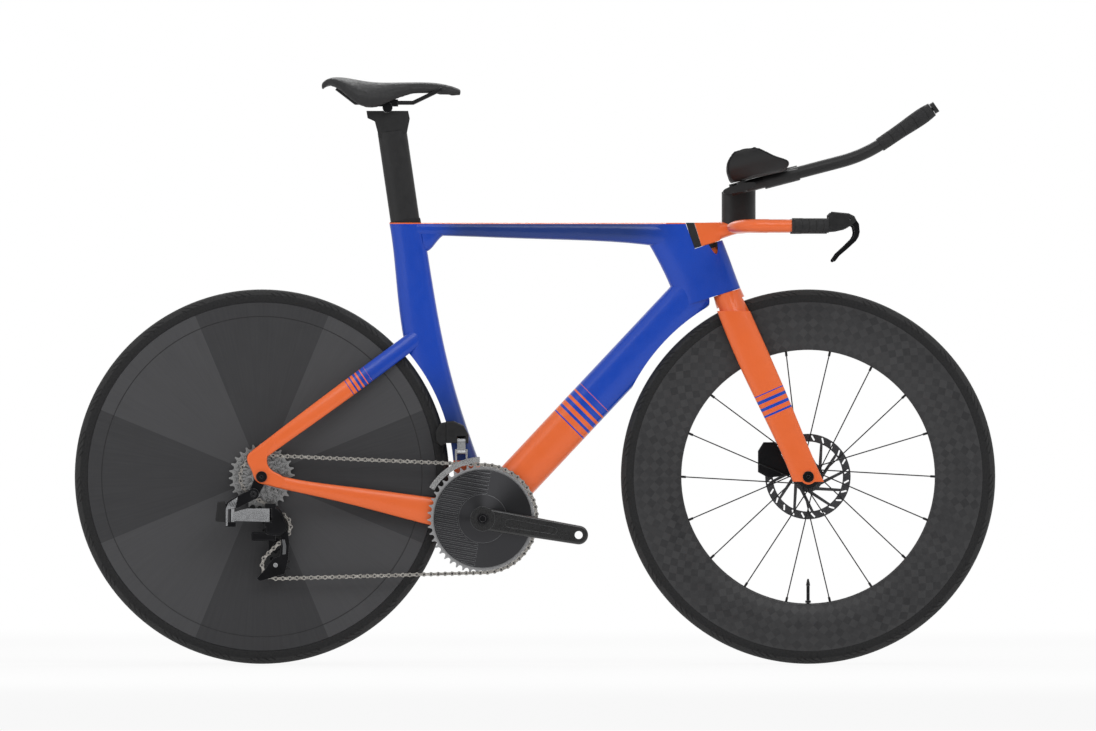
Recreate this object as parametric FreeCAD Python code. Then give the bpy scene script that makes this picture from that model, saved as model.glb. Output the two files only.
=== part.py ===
"""Time trial bike: disc rear wheel, deep front rim, integrated base bar and clip-on extensions.

Millimetres. X points forward, Y to the rider's left, Z up. The origin lies on the
ground, midway between the axles, in the bike's middle plane. The drive side is -Y.
"""
import FreeCAD, Part
import math
import os

V = FreeCAD.Vector
ALONG_X = V(1, 0, 0)
ALONG_Y = V(0, 1, 0)
ALONG_Z = V(0, 0, 1)

# Wheels
wheel_radius = 337.0
tyre_width = 27.0
rim_radius = 314.0
rim_width = 26.0
bead_depth = 5.0
bead_half = 8.0
wheelbase = 983.0
front_rim_depth = 86.0
front_rim_edge = 9.0
front_spokes_count = 18
spoke_radius = 1.1
nipple_radius = 2.2
nipple_length = 11.0
front_flange_radius = 21.0
front_flange_offset = 24.0
front_flange_width = 4.0
front_hub_radius = 13.0
front_hub_width = 100.0
rear_hub_width = 142.0
disc_hub_width = 34.0
disc_core_radius = 27.0
disc_step_radius = 288.0
disc_step = 0.8
axle_radius = 6.0
hub_cap_radius = 10.0
valve_radius = 3.0
valve_length = 38.0

# Running and seating clearances
running_gap = 0.05
seat_gap = 0.2
free_gap = 0.5

# Bottom bracket, cranks and chainrings
bracket_drop = 75.6
chainstay_reach = 397.5
bracket_shell_radius = 33.0
bracket_shell_width = 68.0
bracket_bearing_radius = 22.0
bearing_width = 9.0
spindle_radius = 14.5
crank_length = 175.0
crank_dip = 9.6
crank_arm_width = 40.0
crank_tip_radius = 17.0
crank_arm_depth = 13.0
pedal_hole_radius = 7.15
chain_plane = -41.0
chain_pitch = 12.7
roller_radius = 3.88
gullet_radius = 4.2
gullet_flare = 2.6
plate_radius = 4.0
plate_waist = 2.5
tooth_thickness = 1.6
tooth_height = 2.6
chainring_teeth = 48
inner_ring_teeth = 36
ring_spacing = 7.0
cover_radius = 88.0
cover_boss_radius = 43.6
cover_depth = 4.5
cover_fin_count = 23
fin_slant = 10.0
ring_bolt_count = 4
ring_bolt_radius = 5.0
ring_bolt_circle = 60.0
ring_inner_radius = 53.0
axle_boss_radius = 22.0
arm_inner = 57.0

# Cassette and rear derailleur
cog_teeth = [11, 12, 13, 14, 15, 16, 17, 19, 20, 22, 24, 28]
chain_cog = 7
cog_pitch = 3.6
freehub_radius = 15.5
pulley_teeth = 12
pulley_bolt_radius = 2.5
upper_pulley_x = 27.5
upper_pulley_drop = 90.0
cage_length = 69.0
cage_rest_angle = -93.0
hanger_bolt_x = -14.5
hanger_bolt_drop = 31.0
hanger_thickness = 4.0
hanger_bolt_bore = 5.0
hanger_radius = 10.5
hanger_tip_radius = 9.0
link_pin_radius = 2.5
rear_pivot_x = -52.0
front_pivot_x = 12.0
link_height = 24.0
link_spacing = 17.0
link_plane = -83.0
cage_plate_thickness = 1.6
cage_half_gap = 5.6
cage_plate_radius = 13.0
cage_foot = [(7.9, 64.4), (21.6, 64.4), (24.6, 41.9), (22.9, 11.9), (16.6, -15.6), (-28.4, -29.1),
             (-33.9, -24.1), (-18.4, -7.1), (-10.9, 4.4), (-3.4, 12.9), (7.9, 15.9), (10.1, 36.9)]
knuckle_outline = [(-15.5, 31), (-1.5, 32), (9, 24), (16, 9), (20, -8), (14, -17), (-4, -20), (-18, -16), (-19, 0)]
knuckle_round = 4.0

# Frame
top_tube_level = 794.0
top_tube_crown = 0.4
head_angle = 72.5
fork_rake = 43.0
steerer_radius = 14.3
headset_radius = 20.5
headset_height = 8.0
pocket_radius = 36.5
wheel_cutout = 345.6
front_cutout = 355.0
dropout_thickness = 9.0
dropout_round = 3.0
spot_face_radius = 30.0
dropout_outline = [(0, -13), (-11, -6), (-18.5, 12), (-26, 30), (-24.5, 39.5), (-14, 48), (4, 60.5), (23, 73), (27, 66),
                   (18, 50), (10.5, 35), (11.5, 21), (21, 10), (36, 2), (44, -10), (34, -19.5), (12, -14.5)]
post_chord = 52.5
post_width = 28.0
post_tilt = 8.3
post_insertion = 120.0

# Brakes
rotor_front_radius = 77.0
rotor_rear_radius = 70.0
rotor_thickness = 1.8
rotor_band = 14.0
rotor_arm_count = 6
rotor_front_plane = 38.0
rotor_rear_plane = 54.0
pad_thickness = 3.0
pad_gap = 0.5

# Cockpit
bar_half_width = 190.0
bar_tube_radius = 11.0
bar_level = 788.0
wing_front = 398.0
wing_rear = 345.0
wing_thickness = 23.0
grip_radius = 13.4
extension_radius = 11.0
extension_spread = 56.0
cup_spread = 78.0
riser_top = 857.0
riser_width = 44.0

# Saddle
saddle_length = 253.0
saddle_width = 142.0
rail_radius = 3.5
rail_spread = 22.0

rear_axle = V(-wheelbase / 2, 0, wheel_radius)
front_axle = V(wheelbase / 2, 0, wheel_radius)
bracket = V(rear_axle.x + chainstay_reach, 0, wheel_radius - bracket_drop)
axis_up = V(-math.cos(math.radians(head_angle)), 0, math.sin(math.radians(head_angle)))
axis_forward = V(axis_up.z, 0, -axis_up.x)
axis_foot = front_axle - axis_forward * fork_rake
hanger_bolt = rear_axle + V(hanger_bolt_x, 0, -hanger_bolt_drop)


def side(x, z, y=0.0):
    """Point given by its place in the side view."""
    return V(x, y, z)


def along_axis(height, ahead=0.0, across=0.0):
    """Point at a level of the steering axis, ahead of it and beside it."""
    rise = (height - axis_foot.z) / axis_up.z
    return axis_foot + axis_up * rise + axis_forward * ahead + ALONG_Y * across


def cylinder(start, end, radius):
    """Round bar between two points."""
    run = end - start
    return Part.makeCylinder(radius, run.Length, start, run)


def cross_bar(centre, radius, low, high):
    """Round bar across the bike, from one Y to another."""
    return Part.makeCylinder(radius, high - low, V(centre.x, low, centre.z), ALONG_Y)


def ring(centre, outer, inner, low, high):
    """Round ring across the bike."""
    return cross_bar(centre, outer, low, high).cut(cross_bar(centre, inner, low - 1, high + 1))


def slab(points, low, high):
    """Flat plate across the bike with a straight-sided outline in the side view."""
    outline = Part.makePolygon([V(p[0], low, p[1]) for p in points + points[:1]])
    return Part.Face(outline).extrude(V(0, high - low, 0))


def box(low_corner, high_corner):
    """Block between two opposite corners."""
    size = high_corner - low_corner
    return Part.makeBox(size.x, size.y, size.z, low_corner)


def power(value, exponent):
    """Signed power, for the rounded sections."""
    return math.copysign(abs(value) ** exponent, value)


def section(first, second, half_width, squareness=2.0, across=ALONG_Y, count=20):
    """Closed smooth section whose chord joins two points, as wide as twice half_width."""
    middle = (first + second) * 0.5
    reach = (second - first) * 0.5
    points = []
    for k in range(count):
        turn = 2 * math.pi * k / count
        lengthwise = power(math.cos(turn), 2 / squareness)
        sidewise = power(math.sin(turn), 2 / squareness) * half_width
        points.append(middle + reach * lengthwise + across * sidewise)
    curve = Part.BSplineCurve()
    curve.interpolate(Points=points, PeriodicFlag=True)
    return Part.Wire(curve.toShape())


def loft(sections):
    """Solid skin through a row of sections."""
    return Part.makeLoft(sections, True, False)


def fuse(shapes):
    """One solid from overlapping shapes."""
    return shapes[0].multiFuse(shapes[1:]).removeSplitter()


def spread(start, end, *columns):
    """Rows of evenly spaced stations with the sizes that belong to each."""
    count = len(columns[0])
    places = [start + (end - start) * k / (count - 1) for k in range(count)]
    return list(zip(places, *columns))


def largest(shape):
    """Main solid of a trimmed shape."""
    return max(shape.Solids, key=lambda solid: solid.Volume)


def carve(shape, tools):
    """Shape less each tool in turn."""
    for tool in tools:
        shape = shape.cut(tool)
    return shape


def stadium(first, second, first_radius, second_radius, low, high):
    """Plate across the bike round two centres, with straight tangent sides."""
    run = second - first
    lean = math.asin((first_radius - second_radius) / run.Length)
    heading = math.atan2(run.z, run.x)
    corners = []
    for centre, radius in ((first, first_radius), (second, second_radius)):
        for turn in (heading + math.pi / 2 - lean, heading - math.pi / 2 + lean):
            corners.append(side(centre.x + radius * math.cos(turn), centre.z + radius * math.sin(turn)))
    left_1, right_1, left_2, right_2 = corners
    far = side(second.x + second_radius * math.cos(heading), second.z + second_radius * math.sin(heading))
    near = side(first.x - first_radius * math.cos(heading), first.z - first_radius * math.sin(heading))
    edges = [
        Part.LineSegment(left_1, left_2).toShape(),
        Part.Arc(left_2, far, right_2).toShape(),
        Part.LineSegment(right_2, right_1).toShape(),
        Part.Arc(right_1, near, left_1).toShape(),
    ]
    plate = Part.Face(Part.Wire(edges)).extrude(V(0, high - low, 0))
    plate.translate(V(0, low, 0))
    return plate


def smooth_slab(points, low, high):
    """Slab with one smooth closed outline through points of the side view."""
    curve = Part.BSplineCurve()
    curve.interpolate([side(x, z, low) for x, z in points], PeriodicFlag=True)
    return Part.Face(Part.Wire([curve.toShape()])).extrude(V(0, high - low, 0))


def rounded_face(shape, level, radius):
    """Shape with the edges of its face at one Y rounded over."""
    edges = [edge for edge in shape.Edges
             if all(abs(vertex.Y - level) < 1e-6 for vertex in edge.Vertexes)
             and abs(edge.BoundBox.YMax - edge.BoundBox.YMin) < 1e-6]
    return shape.makeFillet(radius, edges)


def turned(outline, centre):
    """Solid of revolution about a cross axis, from (radius, y) points and curves."""
    face = Part.Face(outline)
    solid = face.revolve(V(0, 0, 0), ALONG_Y, 360)
    solid.translate(centre)
    return solid


def radial_outline(points):
    """Closed straight-sided outline of (radius, y) points."""
    return Part.makePolygon([V(p[0], p[1], 0) for p in points + points[:1]])


def write(name, shapes):
    """Store one node, as one solid or a group of separate solids."""
    solids = []
    for shape in shapes if isinstance(shapes, list) else [shapes]:
        solids.extend(shape.Solids)
    group = solids[0] if len(solids) == 1 else Part.makeCompound(solids)
    group.exportStep(os.path.join("parts", name + ".step"))


os.makedirs("parts", exist_ok=True)

head_bottom = 667.6
head_top = 755.6
post_up = V(-math.sin(math.radians(post_tilt)), 0, math.cos(math.radians(post_tilt)))
post_forward = V(post_up.z, 0, -post_up.x)
post_mouth = side(bracket.x - 139.3, top_tube_level)
crown_pocket_radius = 34.0
post_travel = 30.0
dropout_outer = rear_hub_width / 2 + dropout_thickness
hanger_face = rear_hub_width / 2 + hanger_thickness
axle_head_radius = 10.0
axle_head_height = 4.0


def seat(reach, rise):
    """Point of the seat tube, from the bottom bracket."""
    return side(bracket.x + reach, bracket.z + rise)


def post_section(height, gap=0.0):
    """Section of the seatpost at a height above the seat tube's mouth."""
    centre = post_mouth + post_up * height
    half_chord = post_forward * (post_chord / 2 + gap)
    return section(centre - half_chord, centre + half_chord, post_width / 2 + gap, 2.4)


def steering_block(low, high, radius):
    """Room that the steered parts sweep, from one axis level to another."""
    start = along_axis(low)
    sweep = cylinder(start, along_axis(high), radius)
    reach = 2 * radius
    base = Part.makePlane(reach * 2, reach * 2, start - ALONG_Y * reach, axis_up, axis_forward)
    return sweep.fuse(base.extrude(along_axis(high) - start))


def front_triangle():
    """Top tube, head tube, down tube, seat tube and bottom bracket shell in one moulding."""
    rear_top = post_mouth.x - 10
    head_x = along_axis(top_tube_level).x
    top_tube = loft([
        section(side(x, top_tube_level - drop), side(x, top_tube_level), half, 3.2)
        for x, drop, half in spread(rear_top, head_x - 10, (23, 25.5, 30, 36, 58), (15.5, 16, 17, 18.5, 20.5))
    ])
    head = loft([
        section(along_axis(height, rear), along_axis(height, front), half, 2.4)
        for height, rear, front, half in spread(
            head_bottom, top_tube_level + 18,
            (-91, -90.5, -95, -102, -112), (29, 27, 25, 22, 20), (27, 25.5, 24, 22, 20))
    ])
    half_cut = 2 * bracket_shell_width
    head_flat = top_tube_level - top_tube_crown
    head = head.cut(box(V(0, -half_cut, head_flat), V(wheelbase, half_cut, head_flat + 100)))
    tube_low = seat(48, 108.6)
    tube_high = along_axis(701.8, -99)
    run = tube_high - tube_low
    depth = V(run.z, 0, -run.x).normalize() * 74
    down_tube = loft([
        section(tube_low + run * share, tube_low + run * share + depth, half, 2.6)
        for share, half in spread(-0.2, 1.12, (29, 28, 26, 25, 21))
    ])
    top_rise = top_tube_level - bracket.z
    seat_tube = loft([
        section(seat(rear, rise), seat(front, rise), half, 2.4)
        for rise, rear, front, half in spread(
            0, top_rise, (-41, -84, -130, -153, -168.5), (29, -17.8, -59, -86.5, -108.8), (26, 23, 20.5, 18.5, 17.5))
    ])
    half_shell = bracket_shell_width / 2
    shell = cross_bar(bracket, bracket_shell_radius, -half_shell, half_shell)
    gusset = loft([
        section(seat(-105, top_rise - 50), seat(-112, top_rise - 5), 13, 2.6),
        section(seat(-97, top_rise - 50), seat(-100, top_rise - 5), 14, 2.6),
        section(seat(-78, top_rise - 29), seat(-80, top_rise - 5), 14, 2.6),
        section(seat(-68, top_rise - 22), seat(-69, top_rise - 5), 14, 2.6),
    ])
    body = fuse([top_tube, head, down_tube, seat_tube, shell, gusset])
    bore = bracket_bearing_radius + running_gap
    depth_of_post = post_insertion + post_travel
    cuts = [
        cross_bar(rear_axle, wheel_cutout, -half_cut, half_cut),
        cross_bar(front_axle, front_cutout, -half_cut, half_cut),
        cross_bar(bracket, bore, -half_cut, half_cut),
        loft([post_section(-depth_of_post, seat_gap), post_section(20, seat_gap)]),
        steering_block(head_top, head_top + 80, pocket_radius),
        steering_block(head_bottom - 120, head_bottom, crown_pocket_radius),
        cylinder(along_axis(head_bottom - 5), along_axis(head_top + 5), headset_radius + running_gap),
    ]
    return carve(body, cuts)


def bottom_bracket_bearings():
    """Two sealed bearings in the bottom bracket shell."""
    half = bracket_shell_width / 2
    outer, inner = bracket_bearing_radius, spindle_radius + running_gap
    return [ring(bracket, outer, inner, half - bearing_width, half),
            ring(bracket, outer, inner, -half, -half + bearing_width)]


def headset_bearings():
    """Two sealed bearings at the ends of the head tube."""
    rings = []
    for level in (head_bottom + seat_gap, head_top - headset_height - seat_gap):
        start = along_axis(level)
        outer = Part.makeCylinder(headset_radius, headset_height, start, axis_up)
        inner = Part.makeCylinder(steerer_radius + running_gap, headset_height, start, axis_up)
        rings.append(outer.cut(inner))
    return rings


def hanger_blank(gap):
    """Outline of the hanger inside the drive-side dropout, grown by a gap."""
    return stadium(rear_axle, hanger_bolt, hanger_radius + gap, hanger_tip_radius + gap,
                   -hanger_face, gap - rear_hub_width / 2)


def dropout_plate(hand):
    """Flat end that joins the two stays round the axle; it leaves room for the hanger on the drive side."""
    inner = hand * (hanger_face if hand < 0 else rear_hub_width / 2)
    outer = hand * (dropout_outer - seat_gap)
    points = [(rear_axle.x + x, rear_axle.z + z) for x, z in dropout_outline]
    return rounded_face(smooth_slab(points, min(inner, outer), max(inner, outer)), outer, dropout_round)


def chain_stay(hand, frame):
    """One chain stay with its dropout, trimmed to the front triangle."""
    lows = (325, 306.5, 288.5, 268, 248, 232)
    highs = (350, 330, 319.5, 309.5, 299, 290)
    offsets = (75.5, 69.5, 52.5, 35.5, 25, 19)
    halves = (4.3, 5.6, 7, 7.5, 6.6, 6)
    stay = loft([section(side(x, low, hand * y), side(x, high, hand * y), half, 2.3)
                 for x, low, high, y, half in
                 spread(rear_axle.x - 2, bracket.x - 8, lows, highs, offsets, halves)])
    outer = dropout_outer + axle_head_height
    flat = dropout_outer - seat_gap / 2
    cuts = [cross_bar(rear_axle, axle_radius + running_gap, -dropout_outer - 1, dropout_outer + 1),
            cross_bar(rear_axle, spot_face_radius, -outer, -flat),
            cross_bar(rear_axle, spot_face_radius, flat, outer)]
    return largest(carve(stay.fuse(dropout_plate(hand)), cuts + [hanger_blank(seat_gap), frame]))


def seat_stay(hand, frame, lower_stay):
    """One seat stay, trimmed to the seat tube and to the dropout."""
    rises = (36.6, 94.5, 152, 210, 268.5)
    offsets = (75, 68, 49, 27, 6)
    halves = (4.2, 5.6, 6.7, 7.7, 7)
    reaches = (12.6, 14.2, 15.5, 15.5, 15.5)
    sections = []
    for x, rise, y, half, reach in spread(rear_axle.x - 10, bracket.x - 95, rises, offsets, halves, reaches):
        centre = side(x, wheel_radius + rise, hand * y)
        lean = V(-0.62, 0, 0.784) * reach
        sections.append(section(centre - lean, centre + lean, half, 2.3))
    return largest(carve(loft(sections), [frame, lower_stay, hanger_blank(seat_gap)]))


def rear_thru_axle():
    """Threaded axle through both dropouts and the hub, with its two heads."""
    bar = cross_bar(rear_axle, axle_radius, -dropout_outer, dropout_outer)
    head = cross_bar(rear_axle, axle_head_radius, dropout_outer, dropout_outer + axle_head_height)
    nut = cross_bar(rear_axle, axle_head_radius, -dropout_outer - axle_head_height, -dropout_outer)
    key = hex_hole(rear_axle, 3.0, -dropout_outer - axle_head_height - 1, -dropout_outer)
    return fuse([bar, head, nut]).cut(key)


def hex_hole(centre, across, low, high):
    """Hexagon socket for a key, sunk across the bike; across is the corner radius."""
    corners = [(centre.x + across * math.cos(math.radians(60 * k)),
                centre.z + across * math.sin(math.radians(60 * k))) for k in range(6)]
    return slab(corners, low, high)


def derailleur_hanger():
    """Replaceable hanger that lies inside the drive-side dropout."""
    holes = [cross_bar(centre, bore + running_gap, -hanger_face - 1, 0)
             for centre, bore in ((rear_axle, axle_radius), (hanger_bolt, hanger_bolt_bore))]
    return carve(hanger_blank(0), holes)


def seatpost_seal():
    """Soft collar round the post on the seat tube's mouth."""
    outer = loft([post_section(seat_gap + 0.6, 1.6), post_section(5.0, 1.2)])
    level = box(side(-400, top_tube_level - 40, -60), side(0, top_tube_level + 0.05, 60))
    hole = loft([post_section(-8, seat_gap), post_section(10, seat_gap)])
    base = loft([post_section(-6, 1.6), post_section(1.0, 1.6)])
    return outer.fuse(base).cut(hole).cut(level)


frame = front_triangle()
right_chain_stay = chain_stay(-1, frame)
left_chain_stay = chain_stay(1, frame)
right_seat_stay = seat_stay(-1, frame, right_chain_stay)
left_seat_stay = seat_stay(1, frame, left_chain_stay)
write("front_triangle", frame)
write("chain_stays", [right_chain_stay, left_chain_stay])
write("seat_stays", [right_seat_stay, left_seat_stay])
write("frame_bearings", bottom_bracket_bearings() + headset_bearings())
write("rear_thru_axle", rear_thru_axle())
write("derailleur_hanger", derailleur_hanger())
write("seatpost_seal", seatpost_seal())


def tyre(axle):
    """Tubeless tyre seated on the rim, with its beads in the rim's well."""
    seat_radius = rim_radius + seat_gap
    half = tyre_width / 2
    height = wheel_radius - seat_radius
    foot = half - 0.9
    points = [V(seat_radius, -foot, 0), V(seat_radius + 0.33 * height, -half, 0),
              V(seat_radius + 0.78 * height, -0.72 * half, 0), V(wheel_radius, 0, 0),
              V(seat_radius + 0.78 * height, 0.72 * half, 0),
              V(seat_radius + 0.33 * height, half, 0), V(seat_radius, foot, 0)]
    crown = Part.BSplineCurve()
    crown.interpolate(Points=points)
    bead = rim_radius - bead_depth
    base = Part.makePolygon([points[-1], V(seat_radius, bead_half, 0), V(bead, bead_half, 0),
                             V(bead, -bead_half, 0), V(seat_radius, -bead_half, 0), points[0]])
    return turned(Part.Wire([crown.toShape()] + base.Edges), axle)


def front_rim():
    """Deep carbon rim with a rounded inner edge."""
    inner = rim_radius - front_rim_depth
    half, edge = rim_width / 2, front_rim_edge / 2
    shoulder = rim_radius - 14
    right = Part.Arc(V(rim_radius, -half + 0.6, 0), V(shoulder, -half, 0), V(inner + edge, -edge, 0))
    tip = Part.Arc(V(inner + edge, -edge, 0), V(inner, 0, 0), V(inner + edge, edge, 0))
    left = Part.Arc(V(inner + edge, edge, 0), V(shoulder, half, 0), V(rim_radius, half - 0.6, 0))
    well, well_half = rim_radius - bead_depth - seat_gap, bead_half + seat_gap
    bed = Part.makePolygon([V(rim_radius, half - 0.6, 0), V(rim_radius, well_half, 0), V(well, well_half, 0),
                            V(well, -well_half, 0), V(rim_radius, -well_half, 0), V(rim_radius, -half + 0.6, 0)])
    rim = turned(Part.Wire([curve.toShape() for curve in (right, tip, left)] + bed.Edges), front_axle)
    return rim.cut(valve_core(valve_radius + running_gap))


def valve_core(radius):
    """Valve stem through the lowest point of the front rim."""
    inner = rim_radius - front_rim_depth
    bed = rim_radius - bead_depth - seat_gap / 2
    return Part.makeCylinder(radius, bed - inner + valve_length, front_axle - V(0, 0, bed), ALONG_Z)


def front_valve():
    """Valve stem with its nut at the rim and its cap."""
    inner = rim_radius - front_rim_depth
    top = front_axle.z - inner + valve_length
    nut = Part.makeCylinder(1.7 * valve_radius, 4, V(front_axle.x, 0, front_axle.z - inner + 1), ALONG_Z)
    cap = Part.makeCone(1.3 * valve_radius, 0.5 * valve_radius, 12, V(front_axle.x, 0, top - 6), ALONG_Z)
    return fuse([valve_core(valve_radius), nut, cap])


def front_hub():
    """Hub shell with two spoke flanges and end caps."""
    half, flange = front_hub_width / 2, front_flange_width / 2
    right, left = -front_flange_offset, front_flange_offset * 0.7
    outline = radial_outline([
        (axle_radius + running_gap, -half), (hub_cap_radius, -half), (hub_cap_radius, -half + 8),
        (front_hub_radius, right - 9), (front_flange_radius, right - flange),
        (front_flange_radius, right + flange), (front_hub_radius, right + 9),
        (front_hub_radius, left - 7), (front_flange_radius, left - flange),
        (front_flange_radius, left + flange), (front_hub_radius + 4, left + 5),
        (front_hub_radius + 4, rotor_front_plane - rotor_thickness / 2), (hub_cap_radius + 2, half - 9),
        (hub_cap_radius, half), (axle_radius + running_gap, half),
    ])
    return turned(outline, front_axle)


def front_spokes(hub, rim):
    """Straight-pull spokes, laced tangent to the flanges, each with its nipple at the rim."""
    spokes = []
    inner = rim_radius - front_rim_depth
    for k in range(front_spokes_count):
        turn = 2 * math.pi * k / front_spokes_count
        hand = -front_flange_offset if k % 2 else front_flange_offset * 0.7
        lead = math.radians(38 if k % 4 < 2 else -38)
        root = V(math.cos(turn + lead), 0, math.sin(turn + lead)) * (front_flange_radius - 1)
        tip = V(math.cos(turn), 0, math.sin(turn)) * (inner + 3)
        start = front_axle + root + ALONG_Y * hand
        end = front_axle + tip
        run = (end - start).normalize()
        wire = cylinder(start, end, spoke_radius)
        nipple = cylinder(end - run * nipple_length, end, nipple_radius)
        spokes.append(largest(wire.fuse(nipple).cut(hub).cut(rim)))
    return spokes


def rotor(axle, radius, plane, core):
    """Brake disc: slotted band, swept arms and a centre carrier."""
    low, high = plane - rotor_thickness / 2, plane + rotor_thickness / 2
    band = ring(axle, radius, radius - rotor_band, low, high)
    carrier = ring(axle, core + 11, core + seat_gap, low, high)
    arms = []
    slots = []
    for k in range(2 * rotor_arm_count):
        turn = math.pi * k / rotor_arm_count
        sweep = turn + math.radians(38)
        foot = axle + V(math.cos(turn), 0, math.sin(turn)) * (core + 8)
        tip = axle + V(math.cos(sweep), 0, math.sin(sweep)) * (radius - rotor_band + 2)
        arms.append(stadium(foot, tip, 3.0, 2.4, low, high))
        for step in range(2):
            place = turn + math.pi * (step + 0.5) / (2 * rotor_arm_count)
            spoke = V(math.cos(place), 0, math.sin(place))
            lean = V(-spoke.z, 0, spoke.x) * 2.2
            middle = axle + spoke * (radius - rotor_band / 2)
            reach = spoke * (rotor_band / 2 - 4) + lean
            slots.append(stadium(middle - reach, middle + reach, 1.4, 1.39, low - 1, high + 1))
    return fuse([band, carrier] + arms).cut(Part.makeCompound(slots))


def rear_disc():
    """Lens-shaped closed disc with a stepped rim band."""
    half, edge = disc_hub_width / 2, rim_width / 2
    step = disc_step_radius
    points = [(disc_core_radius, half), (step, edge - disc_step), (step + 1, edge),
              (rim_radius - 1, edge), (rim_radius, edge - 1), (rim_radius, bead_half + seat_gap),
              (rim_radius - bead_depth - seat_gap, bead_half + seat_gap)]
    mirrored = [(radius, -y) for radius, y in reversed(points)]
    return turned(radial_outline(points + mirrored), rear_axle)


def rear_hub():
    """Hub shell with the freehub body and end caps."""
    half = rear_hub_width / 2
    bore = axle_radius + running_gap
    core = disc_core_radius - seat_gap
    wall = disc_hub_width / 2
    outline = radial_outline([
        (bore, -half), (hub_cap_radius, -half), (hub_cap_radius, cassette_outer),
        (freehub_radius, cassette_outer), (freehub_radius, cassette_inner + 0.5),
        (core, -wall), (core, wall), (rotor_core, wall + 6), (rotor_core, rotor_rear_plane + 6),
        (hub_cap_radius, rotor_rear_plane + 7), (hub_cap_radius, half), (bore, half),
    ])
    return turned(outline, rear_axle)


rotor_core = 17.0
cassette_outer = chain_plane - chain_cog * cog_pitch - cog_pitch / 2
cassette_inner = cassette_outer + len(cog_teeth) * cog_pitch


def thru_axle_front():
    """Threaded front axle with its head on the drive side."""
    half = front_hub_width / 2
    bar = cross_bar(front_axle, axle_radius, -half - fork_leg_wall, half + fork_leg_wall)
    head = cross_bar(front_axle, axle_head_radius, -half - fork_leg_wall - 2, -half - fork_leg_wall + 4)
    key = hex_hole(front_axle, 3.0, -half - fork_leg_wall - 3, -half - fork_leg_wall + 3)
    return fuse([bar, head]).cut(key)


fork_leg_wall = 13.0

upper_pulley = rear_axle + V(upper_pulley_x, 0, -upper_pulley_drop)
plate_inner = 1.05
plate_middle = 1.75
plate_outer = 2.45
pin_radius = 1.8


def pitch_radius(teeth):
    """Radius on which the chain's pins lie on a sprocket."""
    return chain_pitch / (2 * math.sin(math.pi / teeth))


def place(centre, radius, turn):
    """Point on a circle in the side view."""
    return V(centre.x + radius * math.cos(turn), 0, centre.z + radius * math.sin(turn))


def chain_route(lower_pulley):
    """Straight runs and arcs of the chain, as (start, heading, length, bend radius) spans.

    The bend radius is positive where the chain turns left, seen from the drive side.
    """
    wheels = [(bracket, pitch_radius(chainring_teeth), -1), (lower_pulley, pitch_radius(pulley_teeth), -1),
              (upper_pulley, pitch_radius(pulley_teeth), 1), (rear_axle, pitch_radius(cog_teeth[chain_cog]), -1)]
    headings = []
    for k, (centre, radius, hand) in enumerate(wheels):
        next_centre, next_radius, next_hand = wheels[(k + 1) % len(wheels)]
        reach = next_centre - centre
        offset = (next_hand * next_radius - hand * radius) / reach.Length
        headings.append(math.atan2(reach.z, reach.x) - math.asin(offset))
    spans = []
    for k, (centre, radius, hand) in enumerate(wheels):
        arriving, leaving = headings[k - 1], headings[k]
        swing = (hand * (leaving - arriving)) % (2 * math.pi)
        start = place(centre, radius, arriving - hand * math.pi / 2)
        spans.append((start, arriving, swing * radius, hand * radius))
        end = place(centre, radius, leaving - hand * math.pi / 2)
        next_centre, next_radius, next_hand = wheels[(k + 1) % len(wheels)]
        target = place(next_centre, next_radius, leaving - next_hand * math.pi / 2)
        spans.append((end, leaving, (target - end).Length, 0.0))
    return spans


def point_on(spans, distance):
    """Point at a distance along the chain's closed route."""
    distance = distance % sum(span[2] for span in spans)
    for start, heading, length, bend in spans:
        if distance <= length:
            break
        distance -= length
    if bend == 0.0:
        return start + V(math.cos(heading), 0, math.sin(heading)) * distance
    centre = place(start, bend, heading + math.pi / 2)
    return place(centre, bend, heading - math.pi / 2 + distance / bend)


def chain_pins(spans, count):
    """Pins at one pitch from each other along the route, and the slack left at the end."""
    travelled = 0.0
    pins = [point_on(spans, travelled)]
    for _ in range(count):
        step = chain_pitch
        for _ in range(6):
            step *= chain_pitch / (point_on(spans, travelled + step) - pins[-1]).Length
        travelled += step
        pins.append(point_on(spans, travelled))
    return pins[:-1], sum(span[2] for span in spans) - travelled


def settle_chain():
    """Swing the derailleur cage until a whole number of links closes the chain."""
    rest = math.radians(cage_rest_angle)
    spans = chain_route(place(upper_pulley, cage_length, rest))
    count = 2 * round(sum(span[2] for span in spans) / chain_pitch / 2)
    low, high = rest - 0.4, rest + 0.4
    for _ in range(50):
        angle = (low + high) / 2
        pulley = place(upper_pulley, cage_length, angle)
        pins, slack = chain_pins(chain_route(pulley), count)
        if slack > 0:
            low = angle
        else:
            high = angle
    return pins, pulley


pins, lower_pulley = settle_chain()


def gullet_turn(centre, teeth):
    """Angle of a tooth gap that holds one of the chain's pins."""
    radius = pitch_radius(teeth)
    held = [pin for pin in pins if abs((pin - centre).Length - radius) < 0.001]
    middle = held[len(held) // 2] - centre
    return math.atan2(middle.z, middle.x)


def sprocket(centre, teeth, start_turn, plane, inner):
    """Toothed ring with round gullets that flare outwards."""
    radius = pitch_radius(teeth)
    low, high = plane - tooth_thickness / 2, plane + tooth_thickness / 2
    gaps = []
    for k in range(teeth):
        turn = start_turn + 2 * math.pi * k / teeth
        seat_point = place(centre, radius, turn)
        mouth = place(centre, radius + 2.6 * tooth_height, turn)
        gaps.append(stadium(seat_point, mouth, gullet_radius, gullet_radius + gullet_flare, low - 1, high + 1))
    return carve(ring(centre, radius + tooth_height, inner, low, high), gaps)


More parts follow.
